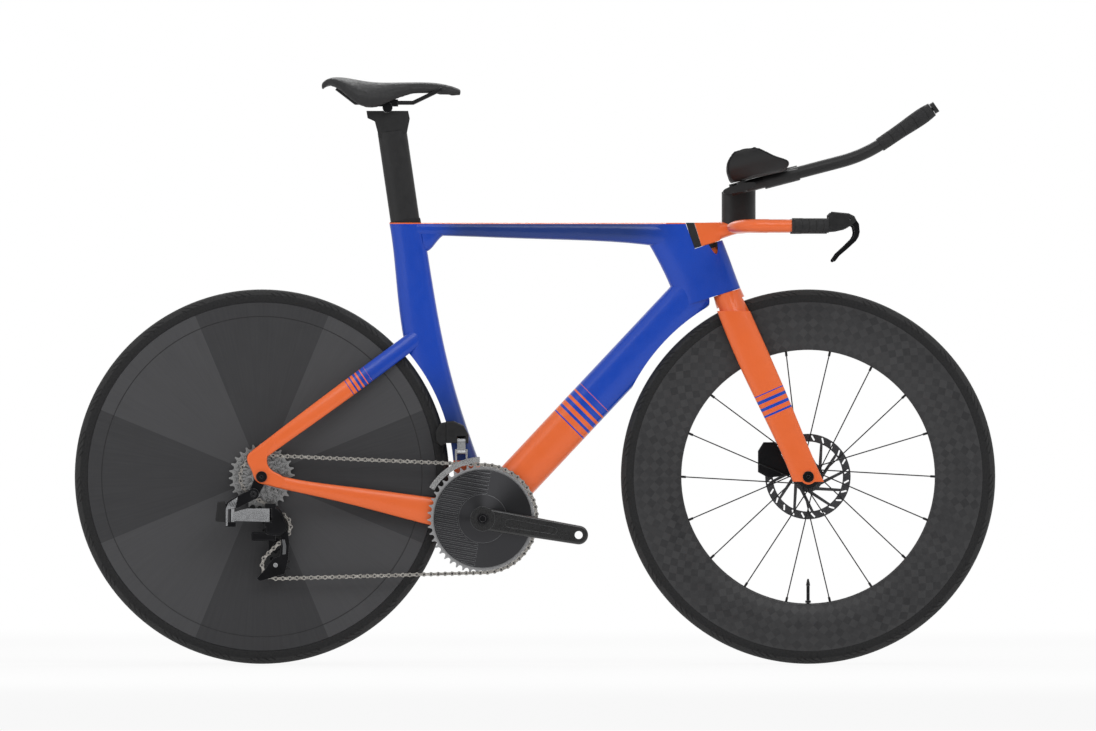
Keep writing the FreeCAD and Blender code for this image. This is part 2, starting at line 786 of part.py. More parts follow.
def chain_plate(first, second, low, high):
    """Waisted side plate: a disc round each pin and a narrower bridge."""
    discs = [cross_bar(pin, plate_radius, low, high) for pin in (first, second)]
    return fuse([stadium(first, second, plate_waist, plate_waist, low, high)] + discs)


def chain_link(first, second, lanes, rolls):
    """One chain link: two plates with either rollers or pins between them."""
    plates = [chain_plate(first, second, chain_plane + low, chain_plane + high)
              for low, high in (lanes, (-lanes[1], -lanes[0]))]
    bars = []
    for pin in (first, second):
        if rolls:
            bars.append(cross_bar(pin, roller_radius, chain_plane - lanes[0], chain_plane + lanes[0]))
        else:
            bars.append(cross_bar(pin, pin_radius, chain_plane - lanes[1] - 0.1, chain_plane + lanes[1] + 0.1))
    link = plates[0].multiFuse(plates[1:] + bars)
    if rolls:
        link = link.cut(cross_bar(first, pin_radius + running_gap, chain_plane - 4, chain_plane + 4))
        link = link.cut(cross_bar(second, pin_radius + running_gap, chain_plane - 4, chain_plane + 4))
    return link


def moved_link(link, first, second):
    """Copy of a link made at the origin along X, laid from one pin to the next."""
    run = second - first
    copy = link.copy()
    copy.rotate(V(0, 0, 0), ALONG_Y, -math.degrees(math.atan2(run.z, run.x)))
    copy.translate(first)
    return copy


def chain():
    """Closed roller chain of inner and outer links in turn."""
    start, end = V(0, 0, 0), V(chain_pitch, 0, 0)
    inner = chain_link(start, end, (plate_inner, plate_middle - 0.05), True)
    outer = chain_link(start, end, (plate_middle + 0.05, plate_outer), False)
    links = []
    for k, pin in enumerate(pins):
        links.append(moved_link(outer if k % 2 else inner, pin, pins[(k + 1) % len(pins)]))
    return links


def cassette():
    """Twelve cogs with their spacers, and the lockring."""
    pieces = []
    bore = freehub_radius + running_gap
    for k, teeth in enumerate(cog_teeth):
        plane = cassette_outer + (k + 0.5) * cog_pitch
        turn = gullet_turn(rear_axle, teeth) if k == chain_cog else 0.3 * k
        root = pitch_radius(teeth) - gullet_radius
        cog = sprocket(rear_axle, teeth, turn, plane, bore)
        if teeth > 17:
            window = place(rear_axle, (root + freehub_radius) / 2 + 1.5, 0)
            radius = min((root - freehub_radius) / 2 - 3.5, 0.3 * (window - rear_axle).Length)
            holes = []
            for step in range(8):
                hole = cross_bar(window, radius, plane - 2, plane + 2)
                hole.rotate(rear_axle, ALONG_Y, 45 * step)
                holes.append(hole)
            cog = carve(cog, holes)
        spacer = ring(rear_axle, freehub_radius + 2.2, bore, plane - cog_pitch / 2, plane + cog_pitch / 2)
        pieces.append(cog.fuse(spacer))
    lock = ring(rear_axle, freehub_radius + 2, hub_cap_radius + 1, cassette_outer - 1.8, cassette_outer)
    return pieces + [lock]


def chainrings():
    """Outer and inner chainring with the bolts that hold them to the spider."""
    outer_turn = gullet_turn(bracket, chainring_teeth)
    outer = sprocket(bracket, chainring_teeth, outer_turn, chain_plane, ring_inner_radius)
    inner = sprocket(bracket, inner_ring_teeth, 0.0, chain_plane + ring_spacing, ring_inner_radius)
    bolts = []
    for k in range(ring_bolt_count):
        centre = place(bracket, ring_bolt_circle, crank_turn + math.pi / 4 + k * math.pi / 2)
        hole = cross_bar(centre, ring_bolt_radius + running_gap, chain_plane - 5, chain_plane + 20)
        outer = outer.cut(hole)
        inner = inner.cut(hole)
        bolts.append(cross_bar(centre, ring_bolt_radius, chain_plane - tooth_thickness / 2,
                               chain_plane + ring_spacing + tooth_thickness / 2 + 1))
    return [outer, inner] + bolts


crank_turn = math.radians(-crank_dip)
right_pedal = place(bracket, crank_length, crank_turn)
left_pedal = place(bracket, crank_length, crank_turn + math.pi)
cover_face = chain_plane - tooth_thickness / 2 - seat_gap - cover_depth


def chainring_cover():
    """Aero cover over the chainring, finned on its rear half, with a raised boss."""
    back = chain_plane - tooth_thickness / 2 - seat_gap
    plate = cross_bar(bracket, cover_radius, cover_face, back)
    boss = cross_bar(bracket, cover_boss_radius, cover_face - 4, back)
    cover = plate.fuse(boss)
    zone = ring(bracket, cover_radius - 2, cover_boss_radius + 2.5, cover_face - 1, cover_face + 1.4)
    rear_half = box(V(bracket.x - 120, -100, bracket.z - 120), V(bracket.x, 0, bracket.z + 120))
    zone = zone.common(rear_half)
    pitch = 2 * (cover_radius - 4) / cover_fin_count
    grooves = []
    for k in range(cover_fin_count + 1):
        level = bracket.z - (cover_radius - 4) + k * pitch
        groove = box(V(bracket.x - 120, cover_face - 2, level - pitch * 0.28),
                     V(bracket.x + 120, cover_face + 2, level + pitch * 0.28))
        grooves.append(groove)
    cut = zone.common(Part.makeCompound(grooves))
    cut.rotate(bracket, ALONG_Y, fin_slant)
    cover = cover.cut(cut)
    return cover.cut(cross_bar(bracket, axle_boss_radius + seat_gap, -120, 0))


def crank_arm(hand, pedal):
    """Arm from the spindle to the pedal thread, with a long relief on its outer face."""
    inner, outer = hand * arm_inner, hand * (arm_inner + crank_arm_depth)
    low, high = min(inner, outer), max(inner, outer)
    arm = stadium(bracket, pedal, crank_arm_width / 2, crank_tip_radius, low, high)
    arm = rounded_face(arm, outer, 4.0)
    run = pedal - bracket
    relief = stadium(bracket + run * 0.28, bracket + run * 0.74, 7.5, 6.0, outer - 3, outer + 3)
    hole = cross_bar(pedal, pedal_hole_radius, low - 1, high + 1)
    return carve(arm, [relief, hole])


def crank_arm_right():
    """Drive-side arm with its boss, spider and spindle."""
    arm = crank_arm(-1, right_pedal)
    boss = cross_bar(bracket, axle_boss_radius, -arm_inner - crank_arm_depth - 1, chain_plane + 1)
    spider_low = chain_plane + tooth_thickness / 2
    spider_high = chain_plane + ring_spacing - tooth_thickness / 2
    spider = cross_bar(bracket, ring_bolt_circle + 8, spider_low, spider_high)
    for k in range(ring_bolt_count):
        centre = place(bracket, ring_bolt_circle, crank_turn + math.pi / 4 + k * math.pi / 2)
        spider = spider.cut(cross_bar(centre, ring_bolt_radius + running_gap, -100, 0))
    spindle = cross_bar(bracket, spindle_radius, -arm_inner - 2, arm_inner + crank_arm_depth - 3)
    body = fuse([arm, boss, spider, spindle])
    face = -arm_inner - crank_arm_depth - 1
    return body.cut(hex_hole(bracket, 5.5, face - 1, face + 8))


def crank_arm_left():
    """Non-drive arm clamped on the spindle's end."""
    arm = crank_arm(1, left_pedal)
    boss = cross_bar(bracket, axle_boss_radius, bracket_shell_width / 2 + free_gap, arm_inner + 2)
    return fuse([arm, boss]).cut(cross_bar(bracket, spindle_radius + running_gap, 0, 120))


write("chain", chain())
write("cassette", cassette())
write("chainrings", chainrings())
write("chainring_cover", chainring_cover())
write("crank_arm_right", crank_arm_right())
write("crank_arm_left", crank_arm_left())
rim = front_rim()
hub = front_hub()
write("front_tyre", tyre(front_axle))
write("front_rim", rim)
write("front_hub", hub)
write("front_spokes", front_spokes(hub, rim))
write("front_valve", front_valve())
write("rear_tyre", tyre(rear_axle))
write("rear_disc", rear_disc())
write("rear_hub", rear_hub())
write("front_rotor", rotor(front_axle, rotor_front_radius, rotor_front_plane, rotor_core))
write("rear_rotor", rotor(rear_axle, rotor_rear_radius, rotor_rear_plane, rotor_core))

rear_pin_x = rear_axle.x + rear_pivot_x
front_pin_x = rear_axle.x + front_pivot_x
outer_link_y = link_plane - link_spacing / 2 - 1.5
inner_link_y = outer_link_y + link_spacing
link_low = upper_pulley.z + 9
link_high = link_low + link_height
lug_height = 9.0
link_radius = 4.5
cage_pivot = upper_pulley + V(-2, 0, 5)
cage_pivot_radius = 9.0
cage_outer = chain_plane - cage_half_gap - cage_plate_thickness
cage_inner = chain_plane + cage_half_gap + cage_plate_thickness


def upright(x, y, radius, low, high):
    """Vertical round bar."""
    return Part.makeCylinder(radius, high - low, V(x, y, low), ALONG_Z)


def derailleur_link(y):
    """One side of the derailleur's parallelogram, bored for its two pins."""
    bar = slab([(rear_pin_x, link_low + 2), (front_pin_x, link_low), (front_pin_x, link_high),
                (rear_pin_x + 26, link_high), (rear_pin_x, link_high - 7)], y - link_radius, y + link_radius)
    ends = [upright(x, y, link_radius, link_low, link_high) for x in (rear_pin_x, front_pin_x)]
    bores = [upright(x, y, link_pin_radius + running_gap, link_low - 1, link_high + 1)
             for x in (rear_pin_x, front_pin_x)]
    return carve(fuse([bar] + ends), bores)


def link_fork(pin_x, wall_low, wall_high):
    """Two lugs with their pins, above and below the links, joined by a wall."""
    low_y, high_y = outer_link_y - 6, inner_link_y + 6
    left, right = min(pin_x - 6, wall_low), max(pin_x + 6, wall_high)
    bottom = box(V(left, low_y, link_low - lug_height), V(right, high_y, link_low - seat_gap))
    top = box(V(left, low_y, link_high + seat_gap), V(right, high_y, link_high + lug_height))
    wall = box(V(wall_low, low_y, link_low - lug_height), V(wall_high, high_y, link_high + lug_height))
    links = [upright(pin_x, y, link_pin_radius, link_low - lug_height + 1, link_high + lug_height - 1)
             for y in (outer_link_y, inner_link_y)]
    return [bottom, top, wall] + links


def derailleur_base():
    """Knuckle on the hanger bolt that carries the rear pins of the parallelogram."""
    back = -hanger_face
    knuckle = cross_bar(hanger_bolt, 10.0, outer_link_y - 6, back)
    bolt = cross_bar(hanger_bolt, hanger_bolt_bore, outer_link_y - 8, -rear_hub_width / 2)
    arm = slab([(hanger_bolt.x - 2, hanger_bolt.z + 9), (hanger_bolt.x + 7, hanger_bolt.z - 7),
                (rear_pin_x + 10, link_high + 1), (rear_pin_x - 13, link_high + 1),
                (rear_pin_x - 10, link_high + 12), (rear_pin_x + 11, link_high + 24)], outer_link_y - 6, back)
    body = fuse([knuckle, bolt, arm] + link_fork(rear_pin_x, rear_pin_x - 13, rear_pin_x - 8))
    return body.cut(hex_hole(hanger_bolt, 2.9, outer_link_y - 9, outer_link_y - 4))


def derailleur_battery():
    """Clip-on battery behind the base knuckle."""
    face = rear_pin_x - 13
    low_y, high_y = outer_link_y - 5, inner_link_y + 5
    body = slab([(face, link_low - 1), (face, link_high + 13), (face - 14, link_high + 12), (face - 18, link_low + 1)],
                low_y, high_y)
    edges = [edge for edge in body.Edges if abs(edge.CenterOfMass.x - face) > 1]
    return body.makeFillet(3.0, edges)


def derailleur_knuckle():
    """Moving knuckle with the motor, the front pins and the bore for the cage."""
    low_y = outer_link_y - 6
    outline = [(cage_pivot.x + x, cage_pivot.z + z) for x, z in knuckle_outline]
    shell = rounded_face(smooth_slab(outline, low_y, cage_outer - 0.4), low_y, knuckle_round)
    motor = box(V(front_pin_x - 30, low_y + 4, upper_pulley.z - 25), V(cage_pivot.x, inner_link_y, upper_pulley.z - 9))
    motor = motor.makeFillet(3.0, [edge for edge in motor.Edges if edge.CenterOfMass.x < cage_pivot.x - 1])
    body = fuse([shell, motor] + link_fork(front_pin_x, front_pin_x + 7, front_pin_x + 14))
    gap = box(V(front_pin_x - 40, low_y - 1, link_low - seat_gap),
              V(front_pin_x + 6.5, 0, link_high + seat_gap))
    pins_kept = [upright(front_pin_x, y, link_pin_radius, link_low - 1, link_high + 1)
                 for y in (outer_link_y, inner_link_y)]
    body = fuse([body.cut(gap)] + pins_kept)
    socket = cross_bar(cage_pivot, cage_pivot_radius + running_gap, cage_outer - 14, 0)
    return body.cut(socket)


def derailleur_cage():
    """Two plates with the pulley bolts between them and the pivot stub."""
    face = cage_outer + cage_plate_thickness
    foot = [(lower_pulley.x + x, lower_pulley.z + z) for x, z in cage_foot]
    plates = [slab(foot, cage_outer, face), cross_bar(upper_pulley, cage_plate_radius + 3, cage_outer, face)]
    back = cage_inner - cage_plate_thickness
    inner = stadium(upper_pulley, lower_pulley, cage_plate_radius + 3, cage_plate_radius, back, cage_inner)
    middle = (upper_pulley + lower_pulley) * 0.5
    plates.append(inner.cut(cross_bar(middle, 6.0, back - 1, cage_inner + 1)))
    bolts = [cross_bar(centre, pulley_bolt_radius, cage_outer, cage_inner)
             for centre in (upper_pulley, lower_pulley)]
    stub = cross_bar(cage_pivot, cage_pivot_radius, cage_outer - 12, cage_outer)
    return fuse(plates + bolts + [stub])


def pulley(centre):
    """Jockey wheel with round windows and a bored hub."""
    bore = pulley_bolt_radius + running_gap
    wheel = sprocket(centre, pulley_teeth, gullet_turn(centre, pulley_teeth), chain_plane, bore)
    windows = [cross_bar(place(centre, 13.0, math.pi * k / 3), 3.6, chain_plane - 2, chain_plane + 2)
               for k in range(6)]
    sleeve = ring(centre, 6.5, bore, chain_plane - cage_half_gap + seat_gap, chain_plane + cage_half_gap - seat_gap)
    return carve(wheel, windows).fuse(sleeve)


fd_link_x = bracket.x - 38.5
fd_link_half = 7.5
fd_link_y = chain_plane + 7
fd_upper_z = bracket.z + 142
fd_lower_z = fd_upper_z - 22
fd_pin_radius = 2.0
cage_low_radius = pitch_radius(chainring_teeth) + tooth_height + 1.8
cage_high_radius = cage_low_radius + 10


def fore_bar(x_low, x_high, y, z, radius):
    """Round bar along the bike."""
    return Part.makeCylinder(radius, x_high - x_low, V(x_low, y, z), ALONG_X)


def shifter_body(frame_shape):
    """Front derailleur motor housing bolted on the seat tube, with a slot for its link."""
    outline = [(-28, -6), (13, -6), (13, 10), (4, 26), (-14, 34), (-28, 33)]
    body = slab([(fd_link_x + x, fd_upper_z + z) for x, z in outline], fd_link_y - 10, -18)
    body = body.makeFillet(3.0, [edge for edge in body.Edges if edge.CenterOfMass.y < fd_link_y])
    slot = box(V(fd_link_x - fd_link_half - 0.3, fd_link_y - 12, fd_upper_z - 10),
               V(fd_link_x + fd_link_half + 0.3, fd_link_y + 7, fd_upper_z + 7))
    pin = fore_bar(fd_link_x - 12, fd_link_x + 12, fd_link_y, fd_upper_z, fd_pin_radius)
    return largest(body.cut(frame_shape)).cut(slot).fuse(pin)


def shifter_battery():
    """Battery clipped behind the front derailleur housing."""
    face = fd_link_x - 28
    outline = [(0, -6), (0, 32), (-10, 30), (-19, 15), (-17, -4), (-7, -12)]
    body = slab([(face + x, fd_upper_z + z) for x, z in outline], fd_link_y - 9, -22)
    return body.makeFillet(3.0, [edge for edge in body.Edges if abs(edge.CenterOfMass.x - face) > 1])


def shifter_link():
    """Short link between the housing and the front derailleur cage."""
    low, high = fd_link_x - fd_link_half, fd_link_x + fd_link_half
    web = box(V(low, fd_link_y - 3.2, fd_lower_z), V(high, fd_link_y + 3.2, fd_upper_z))
    ends = [fore_bar(low, high, fd_link_y, z, 4.0) for z in (fd_lower_z, fd_upper_z)]
    bores = [fore_bar(low - 1, high + 1, fd_link_y, z, fd_pin_radius + running_gap)
             for z in (fd_lower_z, fd_upper_z)]
    return carve(fuse([web] + ends), bores)


def shifter_cage():
    """Front derailleur cage: two curved plates, the bridge over the chain and the pin ears."""
    outer_low, inner_high = chain_plane - 7.0, chain_plane + 7.0
    wedge = slab([(bracket.x, bracket.z), (bracket.x - 10, bracket.z + 200), (bracket.x - 200, bracket.z + 200),
                  (bracket.x - 200, bracket.z + 118)], -100, 100)
    band = [ring(bracket, cage_high_radius, cage_low_radius, low, high).common(wedge)
            for low, high in ((outer_low, outer_low + 1.4), (inner_high - 1.4, inner_high))]
    cap = ring(bracket, cage_high_radius, cage_high_radius - 2, outer_low, inner_high)
    cap = cap.common(slab([(bracket.x, bracket.z), (bracket.x - 25, bracket.z + 200),
                           (bracket.x - 75, bracket.z + 200)], -100, 100))
    ears = []
    for low in (fd_link_x - fd_link_half - 3.8, fd_link_x + fd_link_half + 0.3):
        ears.append(box(V(low, fd_link_y - 3.5, bracket.z + cage_low_radius - 3),
                        V(low + 3.5, fd_link_y + 3.5, fd_lower_z + 5)))
    pin = fore_bar(fd_link_x - fd_link_half - 3, fd_link_x + fd_link_half + 3, fd_link_y, fd_lower_z, fd_pin_radius)
    return fuse(band + [cap] + ears + [pin])


write("rd_base_knuckle", derailleur_base())
write("rd_battery", derailleur_battery())
write("rd_outer_link", derailleur_link(outer_link_y))
write("rd_inner_link", derailleur_link(inner_link_y))
write("rd_moving_knuckle", derailleur_knuckle())
write("rd_cage", derailleur_cage())
write("rd_upper_pulley", pulley(upper_pulley))
write("rd_lower_pulley", pulley(lower_pulley))
write("fd_body", shifter_body(frame))
write("fd_battery", shifter_battery())
write("fd_link", shifter_link())
write("fd_cage", shifter_cage())

crown_top = head_bottom - 0.4
stem_base = head_top + 0.6
steerer_top = head_top + 30
stem_plug_radius = 10.0
stem_nose = 20.0
front_stroke = rotor_thickness / 2 + pad_gap
slot_half = front_stroke + pad_thickness + seat_gap


def fork():
    """Crown, two aero legs and the steerer in one moulding."""
    crown = loft([
        section(along_axis(height, rear), along_axis(height, front), half, 2.2)
        for height, rear, front, half in spread(
            crown_top, crown_top - 64, (-22, -23, -23), (29, 33, 35), (26, 39, 46))
    ])
    legs = []
    for hand in (-1, 1):
        rears = (-164, -133.3, -97.5, -60, -28)
        fronts = (-104.5, -70.3, -37, -5.5, 28)
        offsets = (31, 38.5, 44.5, 51.5, 56.8)
        halves = (12, 10.5, 9.5, 8, 6.6)
        legs.append(loft([
            section(side(front_axle.x + rear, z, hand * y), side(front_axle.x + front, z, hand * y), half, 2.3)
            for z, rear, front, y, half in spread(
                wheel_radius + 298, wheel_radius - 9, rears, fronts, offsets, halves)
        ]))
        half_hub = front_hub_width / 2
        inner = min(hand * half_hub, hand * (half_hub + fork_leg_wall))
        legs.append(cross_bar(front_axle, 14.0, inner, inner + fork_leg_wall))
    steerer = cylinder(along_axis(crown_top - 20), along_axis(head_top + 0.3), steerer_radius)
    plug = cylinder(along_axis(head_top), along_axis(steerer_top), stem_plug_radius)
    half_hub = front_hub_width / 2
    head_low = -half_hub - fork_leg_wall
    cuts = [
        cross_bar(front_axle, wheel_radius + 7, -20, 20),
        cross_bar(front_axle, front_flange_radius * 2, -half_hub, half_hub),
        cross_bar(front_axle, axle_radius + running_gap, -80, 80),
        cross_bar(front_axle, axle_head_radius + running_gap, head_low - 10, head_low + 4),
    ]
    return carve(fuse([crown, steerer, plug] + legs), cuts)


def base_bar():
    """Stem and base bar in one moulding: wing, bends and the forward ends."""
    rear_x = along_axis(stem_base, -15).x
    head = slab([(along_axis(stem_base, -15).x, along_axis(stem_base, -15).z),
                 (along_axis(stem_base, stem_nose).x, along_axis(stem_base, stem_nose).z),
                 (along_axis(stem_base, stem_nose).x, top_tube_level), (rear_x - 13, top_tube_level)], -20, 20)
    stem = loft([
        section(side(x, low), side(x, high), half, 3.2)
        for x, low, high, half in spread(
            rear_x + 4, wing_front - 2, (754.5, 764.5, 774.5, 777.5), (794, 795.5, 797, 798.5), (20, 20.5, 22, 24))
    ])
    wing_mid = (wing_front + wing_rear) / 2
    wing_end = bar_half_width - 45
    bend_radius = bar_tube_radius + 0.4
    rear_z = bar_level - 3
    wing = loft([
        section(side(wing_front, bar_level, y), side(wing_rear, rear_z, y), wing_thickness / 2, 2.2, ALONG_Z)
        for y in (-wing_end, 0, wing_end)
    ])
    pieces = [head, stem, wing]
    for hand in (-1, 1):
        tube_start = wing_front + 22
        bend = loft([
            section(side(wing_front, bar_level, hand * wing_end),
                    side(wing_rear, rear_z, hand * wing_end), wing_thickness / 2, 2.2, ALONG_Z),
            section(side(wing_front + 3, bar_level, hand * (bar_half_width - 17)),
                    side(wing_mid + 3, bar_level, hand * (bar_half_width + 5)), bend_radius, 2.1, ALONG_Z),
            section(side(tube_start, bar_level, hand * (bar_half_width - bend_radius)),
                    side(tube_start, bar_level, hand * (bar_half_width + bend_radius)),
                    bend_radius, 2.0, ALONG_Z),
        ])
        tube = fore_bar(tube_start - 6, grip_front, hand * bar_half_width, bar_level, bar_tube_radius)
        pieces += [bend, tube]
    bore = cylinder(along_axis(head_top), along_axis(steerer_top + 0.2), stem_plug_radius + running_gap)
    return pieces[0].multiFuse(pieces[1:]).cut(bore)


grip_rear = wing_front + 63
grip_front = wing_front + 129
lever_pivot = side(grip_front + 38.6, bar_level + 12.5)
lever_pin_radius = 2.5
lever_half = 5.0


def top_tube_cover():
    """Wedge that fills the gap between the stem and the top tube."""
    low, high = along_axis(stem_base), along_axis(top_tube_level + 60)
    rear, front = axis_forward * -29.3, axis_forward * (-15 - seat_gap)
    outline = [low + rear, low + front, high + front, high + rear]
    wedge = slab([(point.x, point.z) for point in outline], -20, 20)
    wedge = wedge.common(cylinder(low, high, pocket_radius - 0.4))
    return wedge.cut(box(V(0, -100, top_tube_level), V(wheelbase, 100, top_tube_level + 100)))


def sleeve(hand, rear, front, radius):
    """Round sleeve on a forward end of the base bar."""
    y = hand * bar_half_width
    return fore_bar(rear, front, y, bar_level, radius).cut(
        fore_bar(rear - 1, front + 1, y, bar_level, bar_tube_radius + seat_gap / 4))


def base_grips():
    """Clamp ring and wrapped grip on each forward end."""
    pieces = []
    for hand in (-1, 1):
        pieces.append(sleeve(hand, grip_rear, grip_rear + 20, grip_radius))
        pieces.append(sleeve(hand, grip_rear + 20, grip_front, grip_radius - 0.3))
    return pieces


def lever_bodies():
    """Forked brake lever housings plugged in the bar ends, with their pins."""
    pieces = []
    for hand in (-1, 1):
        y = hand * bar_half_width
        x, z = grip_front, bar_level
        outline = [(x, z - 10.5), (x, z + 20), (x + 5, z + 25), (x + 36, z + 22), (x + 46, z + 17),
                   (x + 50, z + 9), (x + 43, z + 2), (x + 30, z - 6), (x + 14, z - 9.5)]
        body = slab(outline, y - 12, y + 12)
        long_edges = [edge for edge in body.Edges if abs(edge.BoundBox.YMax - edge.BoundBox.YMin) < 1e-6
                      and edge.CenterOfMass.x > x + 1]
        body = body.makeFillet(2.5, long_edges)
        slot = box(V(x + 22, y - lever_half - 0.4, z - 30), V(x + 60, y + lever_half + 0.4, z + 40))
        pin = cross_bar(lever_pivot, lever_pin_radius, y - 11, y + 11)
        pieces.append(body.cut(slot).fuse(pin))
    return pieces


def brake_lever(hand):
    """Hooked brake lever, bored for its pin."""
    y = hand * bar_half_width
    x, z = lever_pivot.x, lever_pivot.z
    stations = [(0, 0, 7.5), (10.7, -11.4, 5.2), (12.4, -23.7, 4.6), (10.8, -31, 4.4), (6.8, -37.7, 4.2),
                (-7.8, -51.7, 3.8), (-21.8, -64, 3.4), (-29, -74.1, 3.0)]
    pieces = []
    for first, second in zip(stations, stations[1:]):
        pieces.append(stadium(side(x + first[0], z + first[1]), side(x + second[0], z + second[1]),
                              first[2], second[2], y - lever_half, y + lever_half))
    return fuse(pieces).cut(cross_bar(lever_pivot, lever_pin_radius + running_gap, y - 20, y + 20))


extension_rear = side(352.0, 852.2)
extension_bend = side(593.0, 915.1)
extension_tip = side(714.0, 997.6)
extension_curve = 250.0
sleeve_radius = extension_radius + 2.6
sleeve_start = 62.0
sleeve_end = 126.0
button_travel = 2.0


def extension_path(hand):
    """Straight run, gentle upward bend and straight grip of one extension."""
    shift = ALONG_Y * (hand * extension_spread)
    into = (extension_bend - extension_rear).normalize()
    out = (extension_tip - extension_bend).normalize()
    reach = extension_curve * math.tan(into.getAngle(out) / 2)
    start, end = extension_bend - into * reach, extension_bend + out * reach
    halfway = (out - into).normalize()
    sag = extension_curve / math.cos(into.getAngle(out) / 2) - extension_curve
    middle = extension_bend + halfway * sag
    return Part.Wire([
        Part.LineSegment(extension_rear + shift, start + shift).toShape(),
        Part.Arc(start + shift, middle + shift, end + shift).toShape(),
        Part.LineSegment(end + shift, extension_tip + shift).toShape(),
    ])


def extension(hand):
    """One bent carbon extension."""
    into = (extension_bend - extension_rear).normalize()
    start = extension_rear + ALONG_Y * (hand * extension_spread)
    circle = Part.Circle(start, into, extension_radius)
    tube = extension_path(hand).makePipeShell([Part.Wire(circle.toShape())], True, False)
    sleeve_outer = cylinder(start + into * sleeve_start, start + into * sleeve_end, sleeve_radius)
    return tube.fuse(sleeve_outer.cut(cup_cylinder(hand, cup_radius + seat_gap)))


def grip_direction():
    """Direction of the straight grip part of an extension."""
    return (extension_tip - extension_bend).normalize()


def extension_grip(hand):
    """Collar and grip sleeve on the raised part of an extension."""
    shift = ALONG_Y * (hand * extension_spread)
    along = grip_direction()
    start = extension_bend + along * 46 + shift
    end = extension_tip + shift
    collar = cylinder(start - along * 12, start + along * 4, extension_radius + 1.8)
    swells = (1.9, 2.0, 2.3, 3.0, 3.7, 3.5, 1.6)
    circles = []
    for share, swell in spread(0, 1, swells):
        circles.append(Part.Wire(Part.Circle(start + (end - start) * share, along, extension_radius + swell).toShape()))
    grip = loft(circles)
    tube = cylinder(start - along * 20, end + along, extension_radius + seat_gap / 4)
    return collar.fuse(grip).cut(tube)


def shift_button(hand):
    """Round shift button at an extension's end, on its stem."""
    along = grip_direction()
    face = extension_tip + ALONG_Y * (hand * extension_spread)
    cap = cylinder(face + along * (button_travel + 0.4), face + along * (button_travel + 7), extension_radius - 0.6)
    stem = cylinder(face - along * 10, face + along * (button_travel + 1), 4.0)
    return cap.fuse(stem)


def button_socket(hand):
    """Bore in the extension's end for the button's stem."""
    along = grip_direction()
    face = extension_tip + ALONG_Y * (hand * extension_spread)
    return cylinder(face - along * 16, face + along, 4.0 + running_gap)


cup_radius = 46.0
cup_wall = 2.5
cup_tilt = 12.0
cup_centre = side(400.0, 921.0)
pad_depth = 9.0
pad_overhang = 4.5


def cup_cylinder(hand, radius, lift=0.0):
    """Round form of an arm cup."""
    along = V(math.cos(math.radians(cup_tilt)), 0, math.sin(math.radians(cup_tilt)))
    start = cup_centre - along * 90 + V(0, hand * cup_spread, lift)
    return Part.makeCylinder(radius, 180, start, along)


def cup_outline(inset):
    """Side outline of an arm cup as a smooth closed curve."""
    points = [(346, 882), (348, 909), (363, 926), (390, 931), (412, 925), (435, 913), (457, 901), (451, 891),
              (420, 880), (380, 872), (353, 867)]
    middle = side(400, 895)
    curve = Part.BSplineCurve()
    vectors = []
    for x, z in points:
        spoke = side(x, z) - middle
        vectors.append(middle + spoke * (1 - inset / spoke.Length) - ALONG_Y * 200)
    curve.interpolate(Points=vectors, PeriodicFlag=True)
    return Part.Face(Part.Wire(curve.toShape())).extrude(V(0, 400, 0))


def arm_cup(hand):
    """Curved arm rest shell."""
    shell = cup_outline(pad_overhang).common(cup_cylinder(hand, cup_radius))
    return largest(shell.cut(cup_cylinder(hand, cup_radius - cup_wall)))


def arm_pad(hand):
    """Crescent foam pad inside an arm cup, thickest in the middle."""
    radius = cup_radius - cup_wall - seat_gap
    foam = cup_outline(0).common(cup_cylinder(hand, radius))
    return largest(foam.cut(cup_cylinder(hand, radius - 2.5, pad_depth - 2.5)))


def riser(bar, extensions):
    """Column on the stem with the bridge and posts that carry extensions and cups."""
    rear, front = wing_rear - 9, wing_front - 1
    plate_rear, plate_front = riser_top - 8, riser_top + 6
    column = loft([section(side(rear, z), side(front, z), riser_width / 2, 2.6)
                   for z in (bar_level - 4, plate_front + 10)])
    column = column.cut(slab([(rear - 1, plate_rear), (front + 1, plate_front), (front + 1, plate_front + 50),
                              (rear - 1, plate_front + 50)], -riser_width, riser_width))
    reach = cup_spread + 10
    bridge = loft([section(side(front, plate_front, y), side(rear + 2, plate_rear, y), 7.0, 2.6, ALONG_Z)
                   for y in (-reach, 0, reach)])
    posts = []
    for hand in (-1, 1):
        posts.append(upright(372, hand * cup_spread, 9.0, riser_top - 8, cup_centre.z - cup_radius + 4))
    body = fuse([column, bridge] + posts)
    for hand in (-1, 1):
        body = body.cut(cup_cylinder(hand, cup_radius))
    return largest(carve(body, [bar] + extensions))


def seatpost():
    """Aero post with its forked head."""
    post = loft([post_section(-post_insertion), post_section(166)])
    top = post_mouth + post_up * 160
    x, z = top.x, top.z
    head = slab([(x - 24, z - 6), (x - 32, z + 24), (x - 45, z + 30), (x - 47, z + 43), (x + 28, z + 43),
                 (x + 31, z + 29), (x + 26, z + 4)], -11, 11)
    groove = cross_bar(clamp_centre, clamp_radius + 0.3, -40, 40)
    return fuse([post, head]).cut(groove)


clamp_centre = post_mouth + post_up * 160 + V(-9, 0, 49)
clamp_radius = 9.0
rail_rise = 8.5


